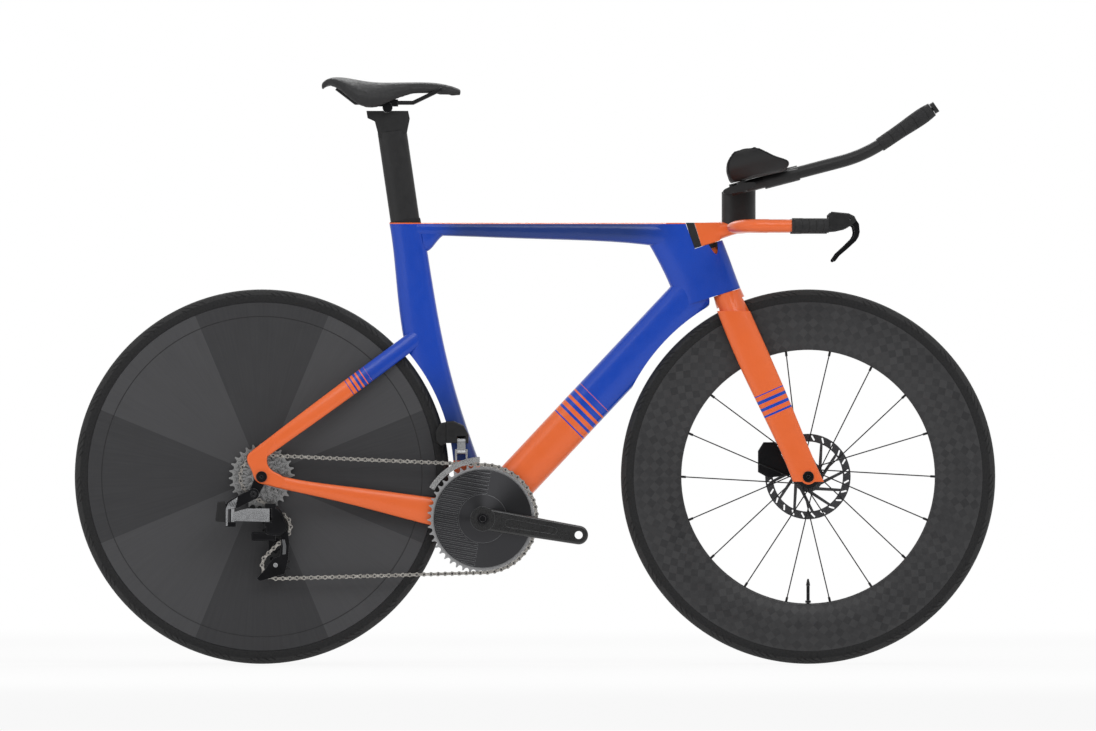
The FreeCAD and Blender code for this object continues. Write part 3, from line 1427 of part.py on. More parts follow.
def saddle_clamp():
    """Round cross bar in the post's groove, with a jaw round each rail."""
    x, z = clamp_centre.x, clamp_centre.z
    pieces = [cross_bar(clamp_centre, clamp_radius, -rail_spread - 7, rail_spread + 7)]
    for hand in (-1, 1):
        y = hand * rail_spread
        pieces.append(box(V(x - 19, y - 6.5, z + 2), V(x + 19, y + 6.5, z + rail_rise + 6)))
    holes = [fore_bar(x - 40, x + 40, hand * rail_spread, z + rail_rise, rail_radius + running_gap)
             for hand in (-1, 1)]
    return carve(fuse(pieces), holes)


def saddle_rails(cover):
    """Two rails, rising into the saddle's shell at both ends."""
    level = clamp_centre.z + rail_rise
    x = clamp_centre.x
    rails = []
    for hand in (-1, 1):
        y = hand * rail_spread
        route = [side(x - 92, level + 26, y), side(x - 58, level, y), side(x + 46, level, y), side(x + 98, level + 25, y)]
        pieces = [cylinder(first, second, rail_radius) for first, second in zip(route, route[1:])]
        pieces += [Part.makeSphere(rail_radius, corner) for corner in route[1:-1]]
        rails.append(largest(fuse(pieces).cut(cover)))
    return rails


def saddle_section(x, half, top, edge, thick):
    """Crowned saddle section with drawn-in sides and a hollow underside."""
    def half_curve(width, high, foot):
        rise = high - edge
        shares = ((-foot, 0.0), (-1.0, 0.45), (-0.66, 0.86), (0.0, 1.0), (0.66, 0.86), (1.0, 0.45), (foot, 0.0))
        return [V(x, width * across, edge + rise * up) for across, up in shares]
    outer = half_curve(half, top, 0.93)
    inner = half_curve(half - thick, top - thick, 0.93)
    curves = []
    for points in (outer, inner[::-1]):
        curve = Part.BSplineCurve()
        curve.interpolate(Points=points)
        curves.append(curve.toShape())
    joins = [Part.LineSegment(outer[-1], inner[-1]).toShape(), Part.LineSegment(inner[0], outer[0]).toShape()]
    return Part.Wire([curves[0], joins[0], curves[1], joins[1]])


def saddle_cover():
    """Padded saddle top with its side wings."""
    rear = clamp_centre.x - 120
    halves = (0.60, 0.97, 0.94, 0.66, 0.42, 0.31, 0.17)
    tops = (48, 57, 50, 48, 48.5, 47, 36)
    edges = (39, 30, 7, 20, 34.5, 33, 29)
    thicks = (6, 8, 8, 8, 8, 7, 4)
    return loft([
        saddle_section(x, share * saddle_width / 2, clamp_centre.z + top - 5, clamp_centre.z + edge - 5, thick)
        for x, share, top, edge, thick in spread(rear, rear + saddle_length, halves, tops, edges, thicks)
    ])


def caliper(outline, axle, radius, plane, half, neighbours):
    """Two-piston caliper straddling a rotor, with room for its pads."""
    body = slab(outline, plane - half, plane + half)
    edges = [edge for edge in body.Edges if abs(edge.BoundBox.YMax - edge.BoundBox.YMin) < 1e-6]
    body = body.makeFillet(2.5, edges)
    slot = cross_bar(axle, radius + 2, plane - slot_half, plane + slot_half)
    return largest(carve(body, [slot] + neighbours))


def brake_pad(axle, radius, plane, hand, turn):
    """One brake pad beside a rotor's band."""
    near = plane + hand * front_stroke
    far = near + hand * pad_thickness
    low, high = min(near, far), max(near, far)
    middle = radius - rotor_band / 2
    spoke = math.radians(turn)
    centre = place(axle, middle, spoke)
    along = V(-math.sin(spoke), 0, math.cos(spoke)) * 9
    return stadium(centre - along, centre + along, 6.0, 5.99, low, high)


front_pad_turn = 157.0
rear_pad_turn = 24.0
caliper_half = 15.0


def front_caliper_outline():
    """Side outline of the front caliper, behind the left leg."""
    x, z = front_axle.x, front_axle.z
    return [(x - 90, z + 8), (x - 72, z - 2), (x - 30, z + 2), (x - 44, z + 32), (x - 58, z + 62),
            (x - 80, z + 62), (x - 90, z + 46)]


def rear_caliper_outline():
    """Side outline of the rear caliper, on the left chain stay."""
    x, z = rear_axle.x, rear_axle.z
    return [(x + 44, z + 12), (x + 52, z - 6), (x + 96, z - 12), (x + 98, z + 14), (x + 80, z + 38), (x + 56, z + 42)]


fork_shape = fork()
bar_shape = base_bar()
extensions = [extension(hand).cut(button_socket(hand)) for hand in (-1, 1)]
cups = [arm_cup(hand) for hand in (-1, 1)]
saddle = saddle_cover()
stays = [left_chain_stay, left_seat_stay]
write("fork", fork_shape)
write("front_thru_axle", thru_axle_front())
write("base_bar", bar_shape)
write("top_tube_cover", top_tube_cover())
write("base_grips", base_grips())
write("lever_bodies", lever_bodies())
write("brake_lever_right", brake_lever(-1))
write("brake_lever_left", brake_lever(1))
write("extensions", extensions)
write("extension_grips", [extension_grip(hand) for hand in (-1, 1)])
write("shift_button_right", shift_button(-1))
write("shift_button_left", shift_button(1))
write("arm_cups", cups)
write("arm_pads", [arm_pad(hand) for hand in (-1, 1)])
write("riser", riser(bar_shape, extensions))
write("seatpost", seatpost())
write("saddle_clamp", saddle_clamp())
write("saddle_rails", saddle_rails(saddle))
write("saddle_cover", saddle)
write("front_caliper", caliper(front_caliper_outline(), front_axle, rotor_front_radius, rotor_front_plane,
                               caliper_half, [fork_shape]))
write("rear_caliper", caliper(rear_caliper_outline(), rear_axle, rotor_rear_radius, rotor_rear_plane,
                              caliper_half, stays))
for name, hand in (("inner", -1), ("outer", 1)):
    write("front_pad_" + name, brake_pad(front_axle, rotor_front_radius, rotor_front_plane, hand, front_pad_turn))
    write("rear_pad_" + name, brake_pad(rear_axle, rotor_rear_radius, rotor_rear_plane, hand, rear_pad_turn))
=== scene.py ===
import math

import bmesh
import bpy
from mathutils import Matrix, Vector


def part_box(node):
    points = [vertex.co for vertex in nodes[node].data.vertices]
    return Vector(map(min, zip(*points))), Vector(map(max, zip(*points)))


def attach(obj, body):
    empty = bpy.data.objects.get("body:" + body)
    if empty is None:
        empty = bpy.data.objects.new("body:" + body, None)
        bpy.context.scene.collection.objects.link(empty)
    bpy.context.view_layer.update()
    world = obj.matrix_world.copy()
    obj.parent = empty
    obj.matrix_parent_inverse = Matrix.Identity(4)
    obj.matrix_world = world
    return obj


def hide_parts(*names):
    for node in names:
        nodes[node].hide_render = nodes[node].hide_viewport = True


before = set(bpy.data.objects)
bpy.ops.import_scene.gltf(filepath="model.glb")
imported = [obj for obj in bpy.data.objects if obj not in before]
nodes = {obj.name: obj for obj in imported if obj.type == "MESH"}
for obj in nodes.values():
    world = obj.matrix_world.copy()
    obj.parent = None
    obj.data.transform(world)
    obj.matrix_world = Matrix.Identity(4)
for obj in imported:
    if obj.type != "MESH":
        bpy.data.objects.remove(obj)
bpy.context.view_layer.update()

# Places in metres, in the part's own frame
rear_axle = Vector((-0.4915, 0.0, 0.337))
front_axle = Vector((0.4915, 0.0, 0.337))
bracket = Vector((-0.094, 0.0, 0.2614))
seat_tube_front, seat_tube_foot = -0.073, 0.366
top_face = 0.7918
right_boss_face, left_spindle_end = -0.071, 0.067
lever_pin_x, lever_pin_z = 0.5656, 0.8005
lever_face = 0.202
knuckle_face = -0.099


def srgb(red, green, blue):
    """Colour read off a screen, 0 to 255, as the light it stands for."""
    light = []
    for value in (red, green, blue):
        share = value / 255
        light.append(share / 12.92 if share <= 0.04045 else ((share + 0.055) / 1.055) ** 2.4)
    return (*light, 1.0)


class Look:
    """One procedural material, with short ways to add its nodes."""

    def __init__(self, name, roughness, metallic=0.0, coat=0.0, specular=0.5):
        self.material = bpy.data.materials.new(name)
        self.material.use_nodes = True
        self.tree = self.material.node_tree
        self.shader = self.tree.nodes["Principled BSDF"]
        self.put("Roughness", roughness)
        self.put("Metallic", metallic)
        self.put("Coat Weight", coat)
        self.put("Coat Roughness", 0.12)
        self.put("Specular IOR Level", specular)
        self.point = self.node("TexCoord", {}).outputs["Object"]
        self.x, self.y, self.z = self.node("SeparateXYZ", {0: self.point}).outputs

    def put(self, socket, value):
        """Give a shader input a number, a colour or another node's output."""
        target = self.shader.inputs[socket]
        if isinstance(value, bpy.types.NodeSocket):
            self.tree.links.new(value, target)
        else:
            target.default_value = value

    def node(self, kind, inputs, **settings):
        made = self.tree.nodes.new("ShaderNode" + kind)
        for key, value in settings.items():
            setattr(made, key, value)
        for key, value in inputs.items():
            if isinstance(value, bpy.types.NodeSocket):
                self.tree.links.new(value, made.inputs[key])
            else:
                made.inputs[key].default_value = value
        return made

    def math(self, operation, first, second=0.0, third=0.0):
        inputs = {0: first, 1: second, 2: third}
        return self.node("Math", inputs, operation=operation).outputs[0]

    def sum(self, *values):
        total = values[0]
        for value in values[1:]:
            total = self.math("ADD", total, value)
        return total

    def stretched(self, factors):
        """The object's own coordinates, scaled along X, Y and Z."""
        return self.node("Mapping", {"Vector": self.point, "Scale": factors}).outputs[0]

    def noise(self, scale, detail=3.0, point=None):
        inputs = {"Vector": point or self.point, "Scale": scale, "Detail": detail}
        return self.node("TexNoise", inputs).outputs["Fac"]

    def cells(self, scale, point=None):
        inputs = {"Vector": point or self.point, "Scale": scale}
        return self.node("TexVoronoi", inputs).outputs["Distance"]

    def ramp(self, value, low, high, first=0.0, last=1.0):
        """Smooth step from first to last while the value goes from low to high."""
        inputs = {"Value": value, "From Min": low, "From Max": high, "To Min": first, "To Max": last}
        return self.node("MapRange", inputs, interpolation_type="SMOOTHSTEP").outputs[0]

    def mix(self, factor, first, second):
        inputs = {0: factor, 6: first, 7: second}
        return self.node("Mix", inputs, data_type="RGBA").outputs[2]

    def bump(self, height, depth, edge=0.0):
        """Fine relief; an edge radius also softens the highlights along sharp edges."""
        inputs = {"Height": height, "Distance": depth}
        if edge:
            inputs["Normal"] = self.node("Bevel", {"Radius": edge}, samples=4).outputs[0]
        self.put("Normal", self.node("Bump", inputs).outputs[0])

    def painted_edge_highlight(self, colour, radius, light, share=0.8):
        """Colour painted lighter along sharp edges: a painted highlight, as if the edges caught the light."""
        soft = self.node("Bevel", {"Radius": radius}, samples=6).outputs[0]
        flat = self.node("NewGeometry", {}).outputs["Normal"]
        agree = self.node("VectorMath", {0: soft, 1: flat}, operation="DOT_PRODUCT").outputs["Value"]
        return self.mix(self.ramp(agree, 0.8, 0.985, share, 0.0), colour, light)

    def depth_shade(self, colour, reach, dark):
        """Colour that darkens in gaps and recesses, as oil and shade do."""
        open_sky = self.node("AmbientOcclusion", {"Distance": reach}, samples=4).outputs["AO"]
        return self.mix(self.ramp(open_sky, 0.25, 0.85), dark, colour)

    def along(self, start, direction):
        """Distance from a start point along a direction in the side view."""
        first = self.math("MULTIPLY_ADD", self.x, direction[0], -start[0] * direction[0] - start[1] * direction[1])
        return self.math("MULTIPLY_ADD", self.z, direction[1], first)

    def polar(self, centre):
        """Turn (in whole turns, 0 to 1) and radius round an axle."""
        dx = self.math("SUBTRACT", self.x, centre.x)
        dz = self.math("SUBTRACT", self.z, centre.z)
        turn = self.math("MULTIPLY_ADD", self.math("ARCTAN2", dz, dx), 0.5 / math.pi, 0.5)
        squares = self.math("MULTIPLY_ADD", dx, dx, self.math("MULTIPLY", dz, dz))
        return turn, self.math("SQRT", squares)

    def spread_roughness(self, scale, low, high):
        self.put("Roughness", self.ramp(self.noise(scale), 0.3, 0.7, low, high))


blue_lit, blue_deep = srgb(10, 80, 206), srgb(2, 54, 164)
orange_lit, orange_deep = srgb(252, 122, 62), srgb(240, 104, 42)
navy = srgb(20, 48, 104)


def shadow_fade(look):
    """1 where the blue fades to navy: along the top tube and at the foot of the seat tube."""
    side_span = look.math("MULTIPLY", look.ramp(look.x, -0.20, -0.12), look.ramp(look.x, 0.16, 0.27, 1.0, 0.0))
    top = look.math("MULTIPLY", look.ramp(look.z, 0.745, 0.775), side_span)
    foot = look.math("MULTIPLY", look.ramp(look.z, 0.42, 0.56, 1.0, 0.0), look.ramp(look.x, -0.09, -0.06, 1.0, 0.0))
    return look.math("MULTIPLY", look.math("MAXIMUM", top, foot), 0.85)


def stripes(look, distance, period, length):
    """1 before the line, then plain stripes that thin out over a length, then 0."""
    share = look.math("FRACT", look.math("DIVIDE", distance, period))
    duty = look.math("SUBTRACT", 1.0, look.math("DIVIDE", distance, length))
    ahead = look.math("GREATER_THAN", distance, 0.0)
    striped = look.math("LESS_THAN", share, duty)
    return look.math("SUBTRACT", 1.0, look.math("MULTIPLY", ahead, look.math("SUBTRACT", 1.0, striped)))


def lacquer(name, orange_mask):
    """Two-colour lacquer over carbon: fine flakes, slight orange peel and a clear coat."""
    look = Look(name, 0.34, coat=0.25, specular=0.35)
    flakes = look.ramp(look.cells(1400.0), 0.15, 0.75)
    cloud = look.noise(5.0, 2.0)
    blue = look.mix(look.sum(look.math("MULTIPLY", flakes, 0.35), look.math("MULTIPLY", cloud, 0.5)),
                    blue_deep, blue_lit)
    orange = look.mix(look.sum(look.math("MULTIPLY", flakes, 0.25), look.math("MULTIPLY", cloud, 0.5)),
                      orange_deep, orange_lit)
    blue = look.mix(shadow_fade(look), blue, navy)
    mask = orange_mask(look) if orange_mask else 1.0
    look.put("Base Color", look.mix(mask, blue, orange))
    look.spread_roughness(60.0, 0.28, 0.38)
    look.bump(look.noise(420.0, 2.0), 0.00004)
    return look.material


def frame_mask(look):
    """Orange bracket and lower down tube, striped into the blue, and an orange top face."""
    along = look.along((-0.046, 0.370), (0.7071, 0.7071))
    low = stripes(look, look.math("SUBTRACT", along, 0.105), 0.016, 0.085)
    on_seat_tube = look.math("MULTIPLY", look.math("LESS_THAN", look.x, seat_tube_front),
                             look.math("GREATER_THAN", look.z, seat_tube_foot))
    low = look.math("MULTIPLY", low, look.math("SUBTRACT", 1.0, on_seat_tube))
    top = look.math("GREATER_THAN", look.z, top_face)
    return look.math("MAXIMUM", low, top)


def stay_mask(look):
    """Orange stay, striped into the blue of the seat tube."""
    along = look.along((-0.340, 0.490), (0.83, 0.56))
    return stripes(look, along, 0.010, 0.052)


def fork_mask(look):
    """Orange fork with three plain bands across the legs."""
    along = look.along((0.4915, 0.337), (-0.40, 0.92))
    inside = look.math("MULTIPLY", look.math("GREATER_THAN", along, 0.128), look.math("LESS_THAN", along, 0.170))
    band = look.math("LESS_THAN", look.math("FRACT", look.math("DIVIDE", along, 0.014)), 0.42)
    return look.math("SUBTRACT", 1.0, look.math("MULTIPLY", inside, band))


def carbon(name, base, lit, roughness):
    """Bare satin carbon: faint long fibres under a matt lacquer."""
    look = Look(name, roughness, specular=0.4)
    fibres = look.noise(60.0, 4.0, look.stretched((8.0, 8.0, 40.0)))
    cloud = look.noise(9.0, 2.0)
    share = look.sum(look.math("MULTIPLY", fibres, 0.6), look.math("MULTIPLY", cloud, 0.4))
    look.put("Base Color", look.mix(share, base, lit))
    look.spread_roughness(90.0, roughness - 0.06, roughness + 0.06)
    look.bump(fibres, 0.00003)
    return look.material


def disc_carbon():
    """Rear disc: eight carbon sectors, alternately lighter as a painted sheen of the weave's direction, with a rim
    ring.
    """
    look = Look("disc_carbon", 0.5, specular=0.35)
    turn, radius = look.polar(rear_axle)
    sector = look.math("MULTIPLY_ADD", turn, 8.0, 0.5)
    # Alternate sectors lighter: painted sheen of weave laid in another direction.
    odd = look.math("GREATER_THAN", look.math("MODULO", sector, 2.0), 1.0)
    grid = {0: look.math("MULTIPLY", turn, 420.0), 1: look.math("MULTIPLY", radius, 9.0), 2: 0.0}
    fibres = look.noise(1.0, 3.0, look.node("CombineXYZ", grid).outputs[0])
    shade = look.sum(look.math("MULTIPLY", odd, 0.62), look.math("MULTIPLY", fibres, 0.38))
    face = look.mix(shade, srgb(48, 48, 50), srgb(74, 74, 76))
    line = look.math("MULTIPLY", look.ramp(radius, 0.2868, 0.2876), look.ramp(radius, 0.2888, 0.2896, 1.0, 0.0))
    look.put("Base Color", look.mix(look.math("MULTIPLY", line, 0.7), face, srgb(34, 34, 35)))
    look.spread_roughness(40.0, 0.42, 0.52)
    look.bump(fibres, 0.00002)
    return look.material


def rim_carbon():
    """Front rim: diamond checks of woven carbon in rings round the hub."""
    look = Look("rim_carbon", 0.42, specular=0.4)
    turn, radius = look.polar(front_axle)
    rows = look.math("MULTIPLY", radius, 56.0)
    columns = look.math("MULTIPLY", turn, 94.0)
    first = look.math("FLOOR", look.sum(columns, rows))
    second = look.math("FLOOR", look.math("SUBTRACT", columns, rows))
    odd = look.math("GREATER_THAN", look.math("ABSOLUTE", look.math("MODULO", look.sum(first, second), 2.0)), 0.5)
    cell = look.node("CombineXYZ", {0: first, 1: second, 2: 0.0}).outputs[0]
    speck = look.node("TexWhiteNoise", {"Vector": cell}, noise_dimensions="2D").outputs["Value"]
    shade = look.sum(look.math("MULTIPLY", odd, 0.16), look.math("MULTIPLY", speck, 0.14),
                     look.math("MULTIPLY", look.noise(160.0), 0.2))
    look.put("Base Color", look.mix(shade, srgb(34, 34, 36), srgb(82, 82, 83)))
    look.spread_roughness(50.0, 0.34, 0.46)
    look.bump(look.noise(900.0, 2.0), 0.00002)
    return look.material


def tyre_rubber(name, axle):
    """Road tyre: matt rubber, paler shoulder blocks and groups of dark chevrons."""
    look = Look(name, 0.7, specular=0.3)
    turn, radius = look.polar(axle)
    grain = look.noise(700.0, 3.0)
    wall = look.mix(grain, srgb(24, 24, 25), srgb(38, 38, 39))
    tread = look.mix(grain, srgb(40, 40, 41), srgb(56, 56, 56))
    rubber = look.mix(look.ramp(radius, 0.3265, 0.3285), wall, tread)
    slant = look.math("MULTIPLY_ADD", look.math("ABSOLUTE", look.y), 260.0, look.math("MULTIPLY", turn, 150.0))
    wave = look.math("FRACT", slant)
    group = look.math("LESS_THAN", look.math("FRACT", look.math("MULTIPLY", turn, 25.0)), 0.55)
    band = look.math("MULTIPLY", look.ramp(radius, 0.3235, 0.3245), look.ramp(radius, 0.3325, 0.3335, 1.0, 0.0))
    groove = look.math("MULTIPLY", look.math("MULTIPLY", look.math("LESS_THAN", wave, 0.3), group), band)
    look.put("Base Color", look.mix(groove, rubber, srgb(24, 24, 25)))
    look.spread_roughness(300.0, 0.62, 0.82)
    height = look.math("SUBTRACT", look.math("MULTIPLY", grain, 0.25), groove)
    look.bump(height, 0.00035)
    return look.material


# Painted highlight colour for the sharp edges of metal parts.
edge_highlight_colour = srgb(150, 150, 152)


def metal(name, dark, light, roughness):
    """Plated or anodised metal with a fine grain, faint smudges and painted highlights along the edges."""
    look = Look(name, roughness, metallic=1.0)
    lines = look.noise(900.0, 4.0)
    smudge = look.noise(35.0, 3.0)
    base = look.mix(look.sum(look.math("MULTIPLY", lines, 0.6), look.math("MULTIPLY", smudge, 0.4)), dark, light)
    # Painted highlight along the sharp edges.
    look.put("Base Color", look.painted_edge_highlight(base, 0.0009, edge_highlight_colour, 0.6))
    look.put("Roughness", look.ramp(look.sum(lines, smudge), 0.6, 1.4, roughness - 0.08, roughness + 0.1))
    look.bump(lines, 0.00002, 0.0007)
    return look.material


gap_shade = srgb(24, 24, 25)


def chain_steel():
    """Nickel-plated chain: each link a little different, dark in the gaps."""
    look = Look("chain_steel", 0.3, metallic=1.0)
    own = look.node("NewGeometry", {}).outputs["Random Per Island"]
    plate = look.mix(own, srgb(160, 156, 150), srgb(206, 202, 196))
    stain = look.ramp(look.noise(300.0), 0.45, 0.75)
    plate = look.mix(look.math("MULTIPLY", stain, 0.4), plate, srgb(120, 112, 104))
    look.put("Base Color", look.depth_shade(plate, 0.004, gap_shade))
    look.spread_roughness(500.0, 0.22, 0.4)
    look.bump(look.noise(900.0), 0.00003)
    return look.material


def turned_metal(name, axle, dark, light, roughness):
    """Metal turned on a lathe: fine rings round an axle."""
    look = Look(name, roughness, metallic=1.0)
    _, radius = look.polar(axle)
    rings = look.noise(1.0, 3.0, look.node("CombineXYZ", {0: look.math("MULTIPLY", radius, 2600.0)}).outputs[0])
    look.put("Base Color", look.depth_shade(look.mix(rings, dark, light), 0.006, gap_shade))
    look.put("Roughness", look.ramp(rings, 0.3, 0.7, roughness - 0.06, roughness + 0.08))
    look.bump(rings, 0.00002)
    return look.material


def moulded(name, dark, light, roughness, grain_scale, grain_depth, specular=0.45):
    """Moulded black plastic or rubber with a fine eroded grain."""
    look = Look(name, roughness, specular=specular)
    grain = look.cells(grain_scale)
    cloud = look.noise(30.0, 3.0)
    # Painted highlight along the sharp edges.
    look.put("Base Color", look.painted_edge_highlight(look.mix(cloud, dark, light), 0.0009, srgb(70, 70, 72), 0.7))
    look.spread_roughness(120.0, roughness - 0.07, roughness + 0.08)
    look.bump(look.math("ADD", grain, look.noise(grain_scale * 2.0, 2.0)), grain_depth, 0.0008)
    return look.material


def wrapped(name, start, direction, pitch):
    """Wrapped bar tape: a slanted overlap every turn, on fine pebbled rubber."""
    look = Look(name, 0.62, specular=0.35)
    along = look.along(start, direction)
    turn = look.math("FRACT", look.math("DIVIDE", look.math("MULTIPLY_ADD", look.y, 0.35, along), pitch))
    edge = look.ramp(turn, 0.0, 0.1)
    pebble = look.cells(1500.0)
    base = look.mix(look.noise(140.0), srgb(27, 27, 28), srgb(43, 43, 44))
    look.put("Base Color", look.mix(edge, srgb(14, 14, 14), base))
    look.spread_roughness(200.0, 0.55, 0.7)
    height = look.sum(look.math("MULTIPLY", edge, 0.8), look.math("MULTIPLY", turn, 0.5),
                      look.math("MULTIPLY", pebble, 0.25))
    look.bump(height, 0.0009)
    return look.material


def turned_black():
    """Black anodised cover, turned on a lathe: fine rings that spread highlights into fans."""
    look = Look("cover_anodised", 0.3, metallic=1.0)
    _, radius = look.polar(bracket)
    rings = look.noise(1.0, 3.0, look.node("CombineXYZ", {0: look.math("MULTIPLY", radius, 3000.0)}).outputs[0])
    base = look.mix(rings, srgb(52, 52, 54), srgb(76, 76, 78))
    # Painted highlight along the edges of the fins and the boss.
    look.put("Base Color", look.painted_edge_highlight(base, 0.0009, srgb(150, 151, 153)))
    look.put("Anisotropic", 0.85)
    look.put("Anisotropic Rotation", 0.25)
    look.put("Tangent", look.node("Tangent", {}, direction_type="RADIAL", axis="Y").outputs[0])
    look.put("Roughness", look.ramp(rings, 0.3, 0.7, 0.29, 0.37))
    dish = look.math("MULTIPLY_ADD", rings, 0.00001, look.math("MULTIPLY", radius, -0.15))
    look.bump(dish, 1.0, 0.0006)
    return look.material


def crank_lacquer():
    """Black lacquered crank arm with long fibres under it and painted highlights along the edges."""
    look = Look("crank_lacquer", 0.26, coat=0.3)
    fibres = look.noise(60.0, 4.0, look.stretched((40.0, 8.0, 8.0)))
    base = look.mix(fibres, srgb(15, 15, 16), srgb(30, 30, 31))
    # Painted highlight along the sharp edges.
    look.put("Base Color", look.painted_edge_highlight(base, 0.0012, srgb(96, 97, 99)))
    look.spread_roughness(90.0, 0.2, 0.32)
    look.bump(fibres, 0.00002, 0.001)
    return look.material


def saddle_skin():
    """Matt synthetic leather with a fine grain."""
    look = Look("saddle_skin", 0.55, specular=0.4)
    grain = look.cells(900.0)
    pores = look.noise(1600.0, 2.0)
    look.put("Base Color", look.mix(look.noise(24.0), srgb(27, 27, 28), srgb(42, 42, 43)))
    look.spread_roughness(150.0, 0.47, 0.63)
    look.bump(look.math("ADD", grain, look.math("MULTIPLY", pores, 0.5)), 0.00018)
    return look.material


def pad_fabric():
    """Brushed fabric facing on foam: a fine knit with soft sheen."""
    look = Look("pad_fabric", 0.85, specular=0.2)
    rows = look.math("SINE", look.math("MULTIPLY", look.x, 5200.0))
    columns = look.math("SINE", look.math("MULTIPLY", look.y, 5200.0))
    knit = look.math("MULTIPLY", rows, columns)
    fuzz = look.noise(900.0, 3.0)
    look.put("Base Color", look.mix(look.noise(40.0), srgb(20, 20, 21), srgb(38, 38, 39)))
    look.put("Sheen Weight", 0.25)
    look.put("Sheen Roughness", 0.5)
    look.spread_roughness(90.0, 0.78, 0.92)
    look.bump(look.sum(knit, fuzz), 0.00015)
    return look.material


black_carbon = carbon("black_carbon", srgb(17, 17, 18), srgb(36, 36, 37), 0.44)
dark_alloy = metal("dark_alloy", srgb(24, 24, 25), srgb(44, 44, 46), 0.36)
steel = metal("steel", srgb(168, 168, 168), srgb(206, 206, 206), 0.26)
silver_alloy = metal("silver_alloy", srgb(150, 151, 153), srgb(198, 199, 201), 0.28)
grey_alloy = metal("grey_alloy", srgb(96, 97, 99), srgb(136, 137, 139), 0.36)
black_steel = metal("black_steel", srgb(28, 28, 29), srgb(56, 56, 57), 0.35)
black_plastic = moulded("black_plastic", srgb(14, 14, 15), srgb(27, 27, 28), 0.45, 1100.0, 0.00008, 0.35)
grip_rubber = moulded("grip_rubber", srgb(18, 18, 19), srgb(30, 30, 31), 0.66, 1300.0, 0.0002, 0.3)
pad_compound = moulded("pad_compound", srgb(64, 58, 52), srgb(96, 88, 80), 0.8, 700.0, 0.0003)

looks = {
    "front_triangle": lacquer("frame_lacquer", frame_mask),
    "chain_stays": lacquer("plain_lacquer", None),
    "seat_stays": lacquer("stay_lacquer", stay_mask),
    "fork": lacquer("fork_lacquer", fork_mask),
    "rear_disc": disc_carbon(),
    "front_rim": rim_carbon(),
    "front_tyre": tyre_rubber("front_tyre_rubber", front_axle),
    "rear_tyre": tyre_rubber("rear_tyre_rubber", rear_axle),
    "front_rotor": turned_metal("front_rotor_steel", front_axle, srgb(58, 58, 60), srgb(104, 104, 106), 0.32),
    "rear_rotor": turned_metal("rear_rotor_steel", rear_axle, srgb(120, 120, 121), srgb(188, 188, 189), 0.3),
    "cassette": turned_metal("cassette_steel", rear_axle, srgb(132, 132, 132), srgb(200, 200, 200), 0.28),
    "chainrings": turned_metal("ring_alloy", bracket, srgb(150, 150, 152), srgb(208, 208, 209), 0.3),
    "chain": chain_steel(),
    "chainring_cover": turned_black(),
    "crank_arm_right": crank_lacquer(),
    "base_grips": wrapped("base_tape", (0.46, 0.0), (1.0, 0.0), 0.013),
    "extension_grips": wrapped("extension_tape", (0.6, 0.92), (0.826, 0.563), 0.025),
}
looks["crank_arm_left"] = looks["crank_arm_right"]
looks["base_bar"] = looks["chain_stays"]
for names, look in (
        ("seatpost extensions riser arm_cups top_tube_cover", black_carbon),
        ("front_hub rear_hub front_caliper rear_caliper derailleur_hanger front_thru_axle rear_thru_axle", dark_alloy),
        ("saddle_clamp rd_cage rd_base_knuckle rd_moving_knuckle rd_inner_link", dark_alloy),
        ("brake_lever_right brake_lever_left", dark_alloy),
        ("fd_cage", steel),
        ("rd_outer_link fd_link", silver_alloy),
        ("front_spokes front_valve saddle_rails frame_bearings", black_steel),
        ("rd_battery fd_battery fd_body rd_upper_pulley rd_lower_pulley lever_bodies", black_plastic),
        ("shift_button_right shift_button_left", black_plastic),
        ("front_pad_inner front_pad_outer rear_pad_inner rear_pad_outer", pad_compound),
        ("seatpost_seal", grip_rubber)):
    for name in names.split():
        looks[name] = look


def dress(thing, material):
    thing.data.materials.clear()
    thing.data.materials.append(material)


for name, material in looks.items():
    dress(nodes[name], material)


def flat_copy(node, name):
    """Loose copy of a CAD node's mesh, to be reshaped."""
    piece = bpy.data.objects.new(name, nodes[node].data.copy())
    bpy.context.collection.objects.link(piece)
    return piece


def settle(piece):
    """Turn a piece's modifiers into its mesh."""
    view = bpy.context.evaluated_depsgraph_get()
    made = bpy.data.meshes.new_from_object(piece.evaluated_get(view))
    piece.modifiers.clear()
    old = piece.data
    piece.data = made
    bpy.data.meshes.remove(old)


def thicken(piece, sag):
    """Add the same form a little lower, twice, so that the padding hangs fuller."""
    form = bmesh.new()
    form.from_mesh(piece.data)
    whole = form.verts[:] + form.edges[:] + form.faces[:]
    for depth in (0.5 * sag, sag):
        lower = bmesh.ops.duplicate(form, geom=whole)["geom"]
        points = [item for item in lower if isinstance(item, bmesh.types.BMVert)]
        bmesh.ops.translate(form, verts=points, vec=(0.0, 0.0, -depth))
    form.to_mesh(piece.data)
    form.free()


def remesh(piece, voxel):
    step = piece.modifiers.new("remesh", "REMESH")
    step.mode = "VOXEL"
    step.voxel_size = voxel
    settle(piece)


def relax(piece, rounds):
    step = piece.modifiers.new("smooth", "SMOOTH")
    step.factor = 0.5
    step.iterations = rounds
    settle(piece)


